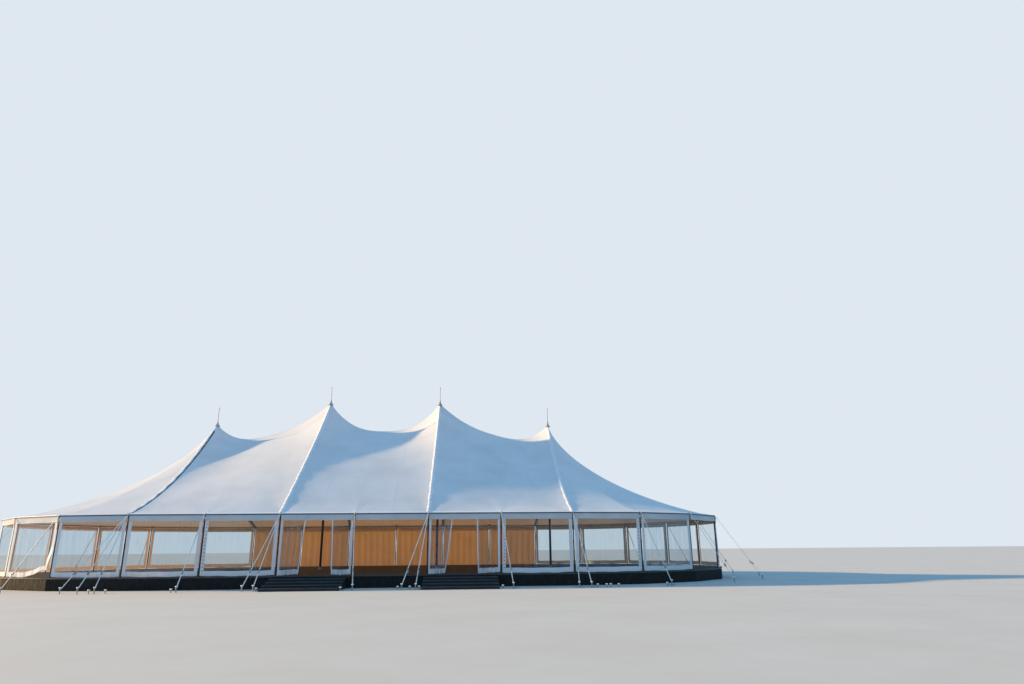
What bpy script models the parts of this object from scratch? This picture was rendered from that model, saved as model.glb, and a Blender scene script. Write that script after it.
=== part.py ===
"""A large round-ended pole tent (marquee) on a low built floor, in metres, +Z up.

Four centre poles lift a white canopy of five laced sections. Thirty side poles stand round the
edge of the floor, one at each corner of the eave, and each is held out by webbing guys that run
to stakes on level ground. Clear wall panels hang from a wall rope between the side poles, with
plain fabric panels along the back. The origin is the middle of the plan, on the ground.
"""
import math

import bmesh
import bpy
from mathutils import Matrix, Vector

# Plan. One bay is 10 ft, each round end is nine equal chords, and the straight sides have six bays.
BAY = 3.048
STRAIGHT_BAYS = 6
END_BAYS = 9
CENTRE_POLES = 4
HALF_STRAIGHT = STRAIGHT_BAYS * BAY / 2
PEAK_PITCH = STRAIGHT_BAYS * BAY / (CENTRE_POLES - 1)
CHORD_ANGLE = math.pi / END_BAYS
END_RADIUS = BAY / 2 / math.sin(CHORD_ANGLE / 2)
BAYS = 2 * (STRAIGHT_BAYS + END_BAYS)

# Heights above level ground.
FLOOR_TOP = 0.50
EAVE_ABOVE_FLOOR = 2.45
EAVE = FLOOR_TOP + EAVE_ABOVE_FLOOR
OUTER_PEAK_RISE = 5.22
INNER_PEAK_RISE = 6.43

# Where two pieces meet, this is left between them.
SEAT = 0.0003

# Canopy shape. A seam's bow is how far it hangs inside the straight line from peak to eave.
ROOF_FABRIC = 0.010
OVERHANG = 0.060
INNER_SEAM_BOW = 0.105
INNER_SEAM_POWER = 0.65
OUTER_SEAM_BOW = 0.50
OUTER_SEAM_POWER = 1.0
END_SLOPE_BOW = 0.71
END_SLOPE_POWER = 0.40
END_SLOPE_TIP = 0.01
MIDDLE_RIDGE_SAG = 1.57
OUTER_RIDGE_SAG_LOW_SIDE = 1.45
OUTER_RIDGE_SAG_HIGH_SIDE = 0.85
RIDGE_SAG_POWER = 2.65
SAG_FADE = 2.7
ROOF_COLUMNS = 8
ROOF_ROWS = 8
ROOF_ROW_POWER = 1.35
END_STEPS_PER_CHORD = 2

# Crown: the hole at each peak, the hollow-sided cap over it, and the spike and its knob on the cap.
CROWN_HOLE_RADIUS = 0.11
CROWN_CAP_RADIUS = 0.15
CROWN_CAP_EDGE = 0.012
CROWN_CAP_RISE = 0.34
CROWN_CAP_STEPS = 5
CROWN_CAP_POWER = 2.2
CROWN_DROP = 0.10
SPIKE_FOOT_RADIUS = 0.028
SPIKE_RADIUS = 0.018
SPIKE_LENGTH = 0.71
KNOB_RADIUS = 0.030
KNOB_HEIGHT = 0.060

# Centre poles.
CENTRE_POLE_RADIUS = 0.060
CENTRE_PLATE_RADIUS = 0.22
CENTRE_PLATE = 0.012

# Side poles, and the wall rope along their outer side.
SIDE_POLE_RADIUS = 0.030
PLATE = 0.008
PIN_RADIUS = 0.012
POLE_TOP_BELOW_EAVE = 0.030
ROPE_HEIGHT = 0.020
ROPE_DEPTH = 0.020
ROPE_TOP = EAVE - 0.090

# Walls. The panels hang under the wall rope, with an open gap at each pole.
WALL_FABRIC = 0.008
WALL_CLEAR_OF_POLE = 0.002
WALL_OFFSET = SIDE_POLE_RADIUS + WALL_CLEAR_OF_POLE + WALL_FABRIC / 2
WALL_TOP = ROPE_TOP - ROPE_HEIGHT - SEAT
WALL_HEM = 0.10
WALL_FOOT = FLOOR_TOP + SEAT
POLE_GAP = 0.10
PLATE_CLEAR_OF_WALL = 0.004
SIDE_PLATE_RADIUS = POLE_GAP / 2 - PLATE_CLEAR_OF_WALL

# Valance: the strip that hangs from the eave.
VALANCE_DROP = 0.26
VALANCE_FABRIC = 0.006

# Guys and stakes.
BAND_HEIGHT = 0.050
BAND_DEPTH = 0.008
BAND_TOP = EAVE - 0.004
ANCHOR_REACH = 0.060
ANCHOR_WIDTH = 0.070
ANCHOR_DEPTH = 0.036
ANCHOR_GRIP = 0.042
GUY_WIDTH = 0.050
GUY_THICKNESS = 0.005
GUY_FOOT = 0.15
STAKE_OUT = 2.00
STAKE_RADIUS = 0.020
STAKE_TOP = 0.20
STAKE_CAP_RADIUS = 0.050
STAKE_CAP = 0.045

# Floor, its frame and the skirt round it.
FLOOR_MARGIN = 0.15
FLOOR_THICK = 0.060
SKIRT = 0.020
BEARER_DEPTH = 0.140
CROSS_BEARER_DEPTH = 0.136
BEARER_WIDTH = 0.060
BEARER_ROWS = (-6.0, 0.0, 6.0)
BEARER_INSET = 0.50
LEG = 0.100

# Steps.
STEP_COUNT = 4
STEP_RUN = 0.46
STEP_RISE = FLOOR_TOP / (STEP_COUNT + 1)
STEP_PLATE = 0.030
STEP_SIDE_GAP = 0.02
STEP_SHIFT = 0.13
STRINGER = 0.040
STRINGER_CLEAR = 0.012
STRINGER_INSET = 0.010

# Bays by use, counted counter-clockwise from the left end of the front.
ENTRANCE_BAYS = (2, 4)
FLAP_WIDTHS = {2: ((1.02, 0.84), (0.88, 0.78)), 4: ((1.00, 0.70), (0.98, 0.92))}

# How far along the eave each front guy's stake stands from its pole, from left to right.
FRONT_GUYS = (
    (-1.17, -0.55, 0.06), (-0.04,), (-0.69, -0.28), (0.36,), (-0.84, -0.31), (0.38,), (-0.12, 0.36),
)
BACK_SEAM_GUYS = (-0.35, 0.35)

MATERIALS = {
    "canopy": ((0.80, 0.84, 0.90), 0.55, 0.0),
    "clear_panel": ((0.72, 0.80, 0.88), 0.15, 0.0),
    "wall_fabric": ((0.84, 0.82, 0.78), 0.60, 0.0),
    "centre_pole": ((0.16, 0.10, 0.07), 0.50, 0.0),
    "side_pole": ((0.05, 0.06, 0.08), 0.40, 0.8),
    "webbing": ((0.82, 0.83, 0.84), 0.70, 0.0),
    "floor": ((0.30, 0.28, 0.26), 0.70, 0.0),
    "frame": ((0.25, 0.25, 0.26), 0.45, 0.9),
    "skirt": ((0.03, 0.03, 0.035), 0.80, 0.0),
    "steps": ((0.10, 0.11, 0.12), 0.70, 0.0),
    "crown": ((0.12, 0.12, 0.13), 0.40, 0.8),
}


def clear_scene():
    """Remove every object, so the script can be run again from the text editor."""
    for item in list(bpy.data.objects):
        bpy.data.objects.remove(item, do_unlink=True)


def make_materials():
    """One Principled material for each finish in MATERIALS."""
    made = {}
    for name, (colour, roughness, metallic) in MATERIALS.items():
        material = bpy.data.materials.new(name)
        material.use_nodes = True
        shader = material.node_tree.nodes["Principled BSDF"]
        shader.inputs["Base Color"].default_value = (*colour, 1.0)
        shader.inputs["Roughness"].default_value = roughness
        shader.inputs["Metallic"].default_value = metallic
        made[name] = material
    return made


def ring_points():
    """The side poles in plan, counter-clockwise from the left end of the front."""
    points = []
    for i in range(STRAIGHT_BAYS + 1):
        points.append(Vector((-HALF_STRAIGHT + i * BAY, -END_RADIUS)))
    for i in range(1, END_BAYS):
        angle = -math.pi / 2 + i * CHORD_ANGLE
        points.append(Vector((HALF_STRAIGHT + END_RADIUS * math.cos(angle), END_RADIUS * math.sin(angle))))
    return points + [-point for point in points]


RING = ring_points()
FRONT_POLES = range(0, STRAIGHT_BAYS + 1)
RIGHT_POLES = range(STRAIGHT_BAYS + 1, STRAIGHT_BAYS + END_BAYS)
BACK_POLES = range(STRAIGHT_BAYS + END_BAYS, 2 * STRAIGHT_BAYS + END_BAYS + 1)
LEFT_POLES = range(2 * STRAIGHT_BAYS + END_BAYS + 1, BAYS)


def pole_at(i):
    """Plan point of side pole i, counted round and round."""
    return RING[i % BAYS]


def bay_direction(i):
    """Unit vector along bay i, from pole i to pole i + 1."""
    return (pole_at(i + 1) - pole_at(i)).normalized()


def bay_normal(i):
    """Unit vector out of bay i."""
    along = bay_direction(i)
    return Vector((along.y, -along.x))


def mitre(i):
    """The way out at pole i, long enough that one unit of it is one unit off both bays."""
    before, after = bay_normal(i - 1), bay_normal(i)
    return (before + after) / (1 + before.dot(after))


def off_pole(i, offset):
    """Point at pole i's corner of the ring set out by offset."""
    return pole_at(i) + mitre(i) * offset


def in_bay(i, distance, offset):
    """Point this far along bay i from its first pole, set out by offset."""
    return pole_at(i) + bay_direction(i) * distance + bay_normal(i) * offset


def peak_x(k):
    """Where centre pole k stands along the ridge."""
    return -HALF_STRAIGHT + k * PEAK_PITCH


def is_outer_peak(k):
    """The first and last peaks are the lower ones."""
    return k in (0, CENTRE_POLES - 1)


def peak_rise(k):
    """Height of peak k above the eave."""
    return OUTER_PEAK_RISE if is_outer_peak(k) else INNER_PEAK_RISE


def seam_height(k, s):
    """Height above the eave on the seam below peak k, s from 0 at the peak to 1 at the eave."""
    bow, power = INNER_SEAM_BOW, INNER_SEAM_POWER
    if is_outer_peak(k):
        bow, power = OUTER_SEAM_BOW, OUTER_SEAM_POWER
    return peak_rise(k) * (1 - s) * (1 - bow * s ** power)


def ridge_sag(k, t):
    """How far the ridge hangs below the line from peak k to peak k + 1, t from 0 to 1."""
    sags = [MIDDLE_RIDGE_SAG, MIDDLE_RIDGE_SAG]
    if is_outer_peak(k):
        sags = [OUTER_RIDGE_SAG_LOW_SIDE, OUTER_RIDGE_SAG_HIGH_SIDE]
    elif is_outer_peak(k + 1):
        sags = [OUTER_RIDGE_SAG_HIGH_SIDE, OUTER_RIDGE_SAG_LOW_SIDE]
    depth = sags[0] * (1 - t) + sags[1] * t
    return depth * (1 - abs(1 - 2 * min(t, 1 - t)) ** RIDGE_SAG_POWER)


def bay_height(k, t, s):
    """Height above the eave of the canopy between peaks k and k + 1."""
    straight = seam_height(k, s) * (1 - t) + seam_height(k + 1, s) * t
    return straight - ridge_sag(k, t) * (1 - s) ** SAG_FADE


def end_height(angle, s):
    """Height above the eave of a round end, angle 0 along the ridge to a quarter turn at the seam."""
    tip = END_SLOPE_TIP ** END_SLOPE_POWER
    bow = END_SLOPE_BOW * ((s + END_SLOPE_TIP) ** END_SLOPE_POWER - tip)
    slope = OUTER_PEAK_RISE * (1 - s) * (1 - bow)
    mix = min(1.0, abs(angle) / (math.pi / 2)) ** 2
    mix = mix * mix * (3 - 2 * mix)
    return slope * (1 - mix) + seam_height(0, s) * mix


def end_edge(angle, offset):
    """Distance from an end's centre to its many-sided edge set out by offset."""
    chord = min(END_BAYS - 1, math.floor((angle + math.pi / 2) / CHORD_ANGLE + 1e-6))
    middle = -math.pi / 2 + (chord + 0.5) * CHORD_ANGLE
    edge = (END_RADIUS * math.cos(CHORD_ANGLE / 2) + offset) / math.cos(angle - middle)
    return min(edge, (END_RADIUS + offset) / max(abs(math.sin(angle)), 0.5))


def row_shares():
    """Rows of the canopy from peak to eave: closer at the peak, and one right over the poles."""
    shares = [(j / (ROOF_ROWS - 1)) ** ROOF_ROW_POWER for j in range(ROOF_ROWS - 1)]
    return shares + [END_RADIUS / (END_RADIUS + OVERHANG), 1.0]


def column_shares():
    """Columns of the canopy from peak to peak, closer at the peaks."""
    return [(1 - math.cos(math.pi * j / ROOF_COLUMNS)) / 2 for j in range(ROOF_COLUMNS + 1)]


def grid_solid(name, rows, thickness):
    """A closed sheet between a grid of top points and the same points set down by its thickness."""
    mesh = bpy.data.meshes.new(name)
    shape = bmesh.new()
    top = [[shape.verts.new(point) for point in row] for row in rows]
    low = [[shape.verts.new(point - Vector((0, 0, thickness))) for point in row] for row in rows]
    last_row, last_column = len(rows) - 1, len(rows[0]) - 1
    for j in range(last_row):
        for i in range(last_column):
            shape.faces.new((top[j][i], top[j][i + 1], top[j + 1][i + 1], top[j + 1][i]))
            shape.faces.new((low[j][i], low[j + 1][i], low[j + 1][i + 1], low[j][i + 1]))
    rim = [(0, i) for i in range(last_column)] + [(j, last_column) for j in range(last_row)]
    rim += [(last_row, i) for i in range(last_column, 0, -1)] + [(j, 0) for j in range(last_row, 0, -1)]
    for (j, i), (n, m) in zip(rim, rim[1:] + rim[:1]):
        shape.faces.new((top[n][m], top[j][i], low[j][i], low[n][m]))
    bmesh.ops.recalc_face_normals(shape, faces=shape.faces)
    bmesh.ops.triangulate(shape, faces=shape.faces)
    shape.to_mesh(mesh)
    shape.free()
    return mesh


def place(name, mesh, material=None):
    """Put a mesh in the scene as an object of its own."""
    item = bpy.data.objects.new(name, mesh)
    bpy.context.collection.objects.link(item)
    if material:
        mesh.materials.append(material)
    return item


def lathe(name, profile, steps, location=(0, 0, 0)):
    """Turn a profile of (radius, height) pairs, listed upwards from the axis and back to it."""
    mesh = bpy.data.meshes.new(name)
    shape = bmesh.new()
    rings = []
    for radius, height in profile:
        if radius == 0:
            rings.append([shape.verts.new((location[0], location[1], location[2] + height))])
            continue
        ring = []
        for j in range(steps):
            angle = 2 * math.pi * (j + 0.5) / steps
            across = Vector((radius * math.cos(angle), radius * math.sin(angle), height))
            ring.append(shape.verts.new(across + Vector(location)))
        rings.append(ring)
    for low, high in zip(rings, rings[1:]):
        for j in range(steps):
            n = (j + 1) % steps
            if len(low) == 1:
                shape.faces.new((low[0], high[n], high[j]))
            elif len(high) == 1:
                shape.faces.new((low[j], low[n], high[0]))
            else:
                shape.faces.new((low[j], low[n], high[n], high[j]))
    bmesh.ops.recalc_face_normals(shape, faces=shape.faces)
    shape.to_mesh(mesh)
    shape.free()
    mesh.shade_smooth()
    mesh.set_sharp_from_angle(angle=math.radians(40))
    return mesh


def beam(name, start, end, width, depth, side):
    """A straight bar of rectangular section; side is the way its width runs."""
    run = end - start
    along = run.normalized()
    across = (side - along * side.dot(along)).normalized()
    up = along.cross(across)
    mesh = bpy.data.meshes.new(name)
    shape = bmesh.new()
    bmesh.ops.create_cube(shape, size=1.0)
    bmesh.ops.scale(shape, vec=Vector((run.length, width, depth)), verts=shape.verts)
    turn = Matrix((along, across, up)).transposed().to_4x4()
    bmesh.ops.transform(shape, matrix=Matrix.Translation((start + end) / 2) @ turn, verts=shape.verts)
    shape.to_mesh(mesh)
    shape.free()
    return mesh


def evaluated_mesh(item, name):
    """The mesh an object has after its modifiers."""
    graph = bpy.context.evaluated_depsgraph_get()
    return bpy.data.meshes.new_from_object(item.evaluated_get(graph), depsgraph=graph, preserve_all_data_layers=False)


def fused(name, meshes, material):
    """Join overlapping closed meshes into one body with Boolean unions."""
    base = place(name + "_base", meshes[0])
    operands = bpy.data.collections.new(name + "_operands")
    bpy.context.scene.collection.children.link(operands)
    for count, mesh in enumerate(meshes[1:]):
        piece = bpy.data.objects.new(f"{name}_operand_{count}", mesh)
        operands.objects.link(piece)
    union = base.modifiers.new("union", "BOOLEAN")
    union.operation = "UNION"
    union.solver = "EXACT"
    union.operand_type = "COLLECTION"
    union.collection = operands
    mesh = evaluated_mesh(base, name)
    for piece in list(operands.objects) + [base]:
        bpy.data.objects.remove(piece, do_unlink=True)
    bpy.data.collections.remove(operands)
    mesh.materials.clear()
    return place(name, mesh, material)


def thickened(item, thickness):
    """Give an upright sheet its thickness, half to each side."""
    solidify = item.modifiers.new("thickness", "SOLIDIFY")
    solidify.thickness = thickness
    solidify.offset = 0.0
    solidify.use_even_offset = True
    return item


def upright_sheet(name, columns, faces, material, thickness):
    """A sheet from plan columns; each face names two columns and its low and high level."""
    mesh = bpy.data.meshes.new(name)
    shape = bmesh.new()
    corners = {}

    def corner(column, level):
        if (column, level) not in corners:
            plan = columns[column]
            corners[column, level] = shape.verts.new((plan.x, plan.y, level))
        return corners[column, level]

    for first, second, low, high in faces:
        shape.faces.new((corner(first, low), corner(second, low), corner(second, high), corner(first, high)))
    shape.to_mesh(mesh)
    shape.free()
    return thickened(place(name, mesh, material), thickness)


def band(name, first, last, offset, low, high, material, thickness):
    """An unbroken upright strip past poles first to last, stopped just short of its neighbours."""
    columns = [in_bay(first, SEAT / 2, offset)]
    columns += [off_pole(i, offset) for i in range(first + 1, last)]
    columns.append(in_bay(last - 1, BAY - SEAT / 2, offset))
    faces = [(i, i + 1, low, high) for i in range(len(columns) - 1)]
    return upright_sheet(name, columns, faces, material, thickness)


def wall_run(name, bays, material):
    """Wall panels of neighbouring bays, joined by the hem that hangs from the wall rope."""
    columns = []
    faces = []
    for bay in bays:
        left = len(columns)
        columns.append(in_bay(bay, POLE_GAP / 2, WALL_OFFSET))
        columns.append(in_bay(bay, BAY - POLE_GAP / 2, WALL_OFFSET))
        faces.append((left, left + 1, WALL_FOOT, WALL_TOP - WALL_HEM))
        faces.append((left, left + 1, WALL_TOP - WALL_HEM, WALL_TOP))
        if bay != bays[-1]:
            columns.append(off_pole(bay + 1, WALL_OFFSET))
            faces.append((left + 1, left + 2, WALL_TOP - WALL_HEM, WALL_TOP))
            faces.append((left + 2, left + 3, WALL_TOP - WALL_HEM, WALL_TOP))
    return upright_sheet(name, columns, faces, material, WALL_FABRIC)


def flap(name, bay, side, widths, material):
    """One entrance panel drawn aside, wider at the top than at the foot."""
    if side == "left":
        edge = POLE_GAP / 2
        inner_top, inner_low = edge + widths[0], edge + widths[1]
    else:
        edge = BAY - POLE_GAP / 2
        inner_top, inner_low = edge - widths[0], edge - widths[1]
    mesh = bpy.data.meshes.new(name)
    shape = bmesh.new()
    outline = [(edge, WALL_FOOT), (inner_low, WALL_FOOT), (inner_top, WALL_TOP), (edge, WALL_TOP)]
    corners = [(in_bay(bay, along, WALL_OFFSET), level) for along, level in outline]
    shape.faces.new([shape.verts.new((plan.x, plan.y, level)) for plan, level in corners])
    shape.to_mesh(mesh)
    shape.free()
    return thickened(place(name, mesh, material), WALL_FABRIC)


def crown_level(k):
    """Underside of the crown cap at peak k."""
    return EAVE + peak_rise(k) - CROWN_DROP


def crown_profile():
    """Outline of a crown cap with its spike and knob, as (radius, height), from the underside up."""
    outline = [(0, 0), (CROWN_CAP_RADIUS, 0)]
    for n in range(CROWN_CAP_STEPS + 1):
        share = n / CROWN_CAP_STEPS
        radius = SPIKE_FOOT_RADIUS + (CROWN_CAP_RADIUS - SPIKE_FOOT_RADIUS) * (1 - share) ** CROWN_CAP_POWER
        outline.append((radius, CROWN_CAP_EDGE + (CROWN_CAP_RISE - CROWN_CAP_EDGE) * share))
    top = CROWN_CAP_RISE + SPIKE_LENGTH
    outline += [(SPIKE_RADIUS, CROWN_CAP_RISE), (SPIKE_RADIUS, top - KNOB_HEIGHT)]
    outline += [(KNOB_RADIUS, top - KNOB_HEIGHT * 3 / 4), (KNOB_RADIUS, top - KNOB_HEIGHT / 4)]
    return outline + [(SPIKE_RADIUS, top), (0, top)]


def crown_cutter(k):
    """The hole through the canopy at peak k, with a flat seat above it for the cap."""
    level = crown_level(k) - SEAT - EAVE
    seat_radius, top = 2 * CROWN_CAP_RADIUS, peak_rise(k) + CROWN_CAP_RISE
    profile = [
        (0, 0), (CROWN_HOLE_RADIUS, 0), (CROWN_HOLE_RADIUS, level),
        (seat_radius, level), (seat_radius, top), (0, top),
    ]
    mesh = lathe(f"crown_cutter_{k}", profile, 16, (peak_x(k), 0, EAVE))
    cutter = place(f"crown_cutter_{k}", mesh)
    cutter.hide_render = True
    cutter.display_type = "WIRE"
    return cutter


def cut_crown(item, cutter):
    """Cut one peak's hole out of a canopy section."""
    cut = item.modifiers.new("crown_hole", "BOOLEAN")
    cut.operation = "DIFFERENCE"
    cut.solver = "EXACT"
    cut.object = cutter


def roof_bay(name, k, cutters, material):
    """The canopy section between peaks k and k + 1, front and back in one piece."""
    shares = row_shares()
    reach = END_RADIUS + OVERHANG
    lines = [-s for s in reversed(shares)] + shares[1:]
    left, right = peak_x(k) + SEAT / 2, peak_x(k + 1) - SEAT / 2
    rows = []
    for line in lines:
        row = []
        for t in column_shares():
            height = EAVE + bay_height(k, t, abs(line))
            row.append(Vector((left * (1 - t) + right * t, line * reach, height)))
        rows.append(row)
    mesh = grid_solid(name, rows, ROOF_FABRIC)
    item = place(name, mesh, material)
    cut_crown(item, cutters[k])
    cut_crown(item, cutters[k + 1])
    return item


def roof_end(name, side, cutter, material):
    """A round end of the canopy, side +1 on the right and -1 on the left."""
    steps = END_BAYS * END_STEPS_PER_CHORD
    start = CROWN_HOLE_RADIUS / 2 / END_RADIUS
    shares = [start] + row_shares()[1:]
    rows = []
    for s in shares:
        row = []
        for j in range(steps + 1):
            angle = -math.pi / 2 + j * math.pi / steps
            radius = s * end_edge(angle, OVERHANG)
            x = HALF_STRAIGHT + SEAT / 2 + radius * math.cos(angle)
            row.append(Vector((side * x, radius * math.sin(angle), EAVE + end_height(angle, s))))
        rows.append(row)
    item = place(name, grid_solid(name, rows, ROOF_FABRIC), material)
    cut_crown(item, cutter)
    return item


def build_roof(made):
    """Five canopy sections, their crown caps and the valance."""
    cutters = [crown_cutter(k) for k in range(CENTRE_POLES)]
    for k, word in enumerate(("left", "middle", "right")):
        roof_bay(f"roof_{word}_bay", k, cutters, made["canopy"])
    roof_end("roof_left_end", -1, cutters[0], made["canopy"])
    roof_end("roof_right_end", 1, cutters[-1], made["canopy"])
    for k in range(CENTRE_POLES):
        crown = lathe(f"crown_cap_{k + 1}", crown_profile(), 16, (peak_x(k), 0, crown_level(k)))
        place(f"crown_cap_{k + 1}", crown, made["crown"])
    top = EAVE - ROOF_FABRIC - SEAT
    for word, poles in side_runs():
        band(f"valance_{word}", poles[0], poles[1], OVERHANG - VALANCE_FABRIC / 2, top - VALANCE_DROP, top,
             made["canopy"], VALANCE_FABRIC)


def side_runs():
    """Each side of the tent as its first and last pole."""
    right = STRAIGHT_BAYS
    back = right + END_BAYS
    left = back + STRAIGHT_BAYS
    return (("front", (0, right)), ("right", (right, back)), ("back", (back, left)), ("left", (left, BAYS)))


def build_centre_poles(made):
    """A pole under each peak, from its plate on the floor up to the crown cap."""
    for k in range(CENTRE_POLES):
        foot = FLOOR_TOP + SEAT
        top = crown_level(k) - SEAT - foot
        profile = [
            (0, 0), (CENTRE_PLATE_RADIUS, 0), (CENTRE_PLATE_RADIUS, CENTRE_PLATE),
            (CENTRE_POLE_RADIUS, CENTRE_PLATE), (CENTRE_POLE_RADIUS, top), (0, top),
        ]
        mesh = lathe(f"centre_pole_{k + 1}", profile, 16, (peak_x(k), 0, foot))
        place(f"centre_pole_{k + 1}", mesh, made["centre_pole"])


def roof_rise_over(i):
    """Height of the canopy's top above the eave, right over side pole i."""
    s = END_RADIUS / (END_RADIUS + OVERHANG)
    plan = pole_at(i)
    if abs(plan.x) > HALF_STRAIGHT + SEAT:
        angle = math.atan2(plan.y, abs(plan.x) - HALF_STRAIGHT)
        return end_height(angle, s)
    steps = (plan.x + HALF_STRAIGHT) / PEAK_PITCH
    k = min(CENTRE_POLES - 2, math.floor(steps + 1e-6))
    return bay_height(k, steps - k, s)


def side_pole(i):
    """One side pole: a round plate on the floor, the tube and the pin under the canopy."""
    plan = pole_at(i)
    foot = FLOOR_TOP + SEAT
    shoulder = EAVE - POLE_TOP_BELOW_EAVE - foot
    pin = EAVE + roof_rise_over(i) * (1 - PIN_RADIUS / OVERHANG) - ROOF_FABRIC - SEAT - foot
    profile = [
        (0, 0), (SIDE_PLATE_RADIUS, 0), (SIDE_PLATE_RADIUS, PLATE), (SIDE_POLE_RADIUS, PLATE),
        (SIDE_POLE_RADIUS, shoulder), (PIN_RADIUS, shoulder), (PIN_RADIUS, pin), (0, pin),
    ]
    return lathe(f"side_pole_{i}", profile, 8, (plan.x, plan.y, foot))


def bent_bar(name, columns, low, high, thickness):
    """Closed mesh of an upright strip along plan columns."""
    faces = [(i, i + 1, low, high) for i in range(len(columns) - 1)]
    item = upright_sheet(name, columns, faces, None, thickness)
    mesh = evaluated_mesh(item, name)
    bpy.data.objects.remove(item, do_unlink=True)
    return mesh


def pole_groups():
    """The side poles by side of the tent."""
    return (("front", FRONT_POLES), ("right", RIGHT_POLES), ("back", BACK_POLES), ("left", LEFT_POLES))


def group_columns(poles, offset):
    """Plan columns of a strip that passes a group's poles and stops half-way to the next group."""
    columns = [in_bay(poles[0] - 1, BAY / 2 + SEAT / 2, offset)]
    columns += [off_pole(i, offset) for i in poles]
    columns.append(in_bay(poles[-1], BAY / 2 - SEAT / 2, offset))
    return columns


def build_side_poles(made):
    """Each side's poles, joined by the wall rope that runs along them."""
    for word, poles in pole_groups():
        columns = group_columns(poles, WALL_OFFSET)
        rope = bent_bar(f"rope_{word}", columns, ROPE_TOP - ROPE_HEIGHT, ROPE_TOP, ROPE_DEPTH)
        fused(f"side_poles_{word}", [rope] + [side_pole(i) for i in poles], made["side_pole"])


def guy_offsets(i):
    """How far along the eave each of pole i's stakes stands from the pole."""
    if i in FRONT_POLES:
        return FRONT_GUYS[i]
    steps = (pole_at(i).x + HALF_STRAIGHT) / PEAK_PITCH
    if i in BACK_POLES and abs(steps - round(steps)) < 0.01:
        return BACK_SEAM_GUYS
    return (0.0,)


def guy_direction(i):
    """Straight out from the eave along the front and back, and along the corner's mitre at the ends."""
    if i in FRONT_POLES:
        return Vector((0, -1))
    if i in BACK_POLES:
        return Vector((0, 1))
    return mitre(i).normalized()


def guy_meshes(i):
    """Pole i's guys with their stakes, from an anchor on the guy band to the ground."""
    middle = OVERHANG + SEAT + BAND_DEPTH / 2
    level = BAND_TOP - BAND_HEIGHT / 2
    out = guy_direction(i)
    along = Vector((-out.y, out.x))
    side = Vector((along.x, along.y, 0))
    inner = Vector((*off_pole(i, middle), level))
    outer = Vector((*off_pole(i, middle + ANCHOR_REACH), level))
    top = inner.lerp(outer, ANCHOR_GRIP / ANCHOR_REACH)
    meshes = [beam(f"anchor_{i}", inner, outer, ANCHOR_WIDTH, ANCHOR_DEPTH, side)]
    for count, offset in enumerate(guy_offsets(i)):
        foot_plan = pole_at(i) + out * STAKE_OUT + along * offset
        foot = Vector((foot_plan.x, foot_plan.y, GUY_FOOT))
        meshes.append(beam(f"guy_{i}_{count}", top, foot, GUY_WIDTH, GUY_THICKNESS, side))
        profile = [
            (0, 0), (STAKE_RADIUS, 0), (STAKE_RADIUS, STAKE_TOP), (STAKE_CAP_RADIUS, STAKE_TOP),
            (STAKE_CAP_RADIUS, STAKE_TOP + STAKE_CAP), (0, STAKE_TOP + STAKE_CAP),
        ]
        meshes.append(lathe(f"stake_{i}_{count}", profile, 6, (foot.x, foot.y, 0)))
    return meshes


def build_guys(made):
    """Each side's guys and stakes, joined by the band that runs along the eave."""
    for word, poles in pole_groups():
        columns = group_columns(poles, OVERHANG + SEAT + BAND_DEPTH / 2)
        strip = bent_bar(f"guy_band_{word}", columns, BAND_TOP - BAND_HEIGHT, BAND_TOP, BAND_DEPTH)
        meshes = [strip]
        for i in poles:
            meshes += guy_meshes(i)
        fused(f"guys_{word}", meshes, made["webbing"])


def build_walls(made):
    """Clear panels round the front and ends, plain fabric along the back, and the entrance flaps."""
    clear = made["clear_panel"]
    right = STRAIGHT_BAYS
    back = right + END_BAYS
    left = back + STRAIGHT_BAYS
    wall_run("wall_front_left", [0, 1], clear)
    wall_run("wall_front_right", [5], clear)
    wall_run("wall_right_front", [right, right + 1], clear)
    wall_run("wall_right_middle", [right + 3, right + 4, right + 5], clear)
    wall_run("wall_right_back", [right + 6, right + 7, right + 8], clear)
    wall_run("wall_back", list(range(back, left)), made["wall_fabric"])
    wall_run("wall_left_back", [left, left + 1, left + 2], clear)
    wall_run("wall_left_middle", [left + 3, left + 4, left + 5], clear)
    wall_run("wall_left_front", [left + 6, left + 7, left + 8], clear)
    for bay, word in zip(ENTRANCE_BAYS, ("left", "right")):
        for side, widths in zip(("left", "right"), FLAP_WIDTHS[bay]):
            flap(f"{word}_entrance_{side}_flap", bay, side, widths, clear)


def build_floor(made):
    """The floor, the frame of bearers and legs under it, and the skirt round them."""
    outline = [off_pole(i, FLOOR_MARGIN) for i in range(BAYS)]
    mesh = bpy.data.meshes.new("floor_deck")
    shape = bmesh.new()
    bottom = FLOOR_TOP - FLOOR_THICK
    face = shape.faces.new([shape.verts.new((plan.x, plan.y, bottom)) for plan in outline])
    grown = bmesh.ops.extrude_face_region(shape, geom=[face])
    raised = [item for item in grown["geom"] if isinstance(item, bmesh.types.BMVert)]
    bmesh.ops.translate(shape, vec=Vector((0, 0, FLOOR_THICK)), verts=raised)
    bmesh.ops.recalc_face_normals(shape, faces=shape.faces)
    shape.to_mesh(mesh)
    shape.free()
    place("floor_deck", mesh, made["floor"])
    for word, (first, last) in side_runs():
        band(f"skirt_{word}", first, last, FLOOR_MARGIN - SKIRT / 2, 0.0, bottom - SEAT, made["skirt"], SKIRT)
    build_floor_frame(made, bottom - SEAT)


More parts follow.
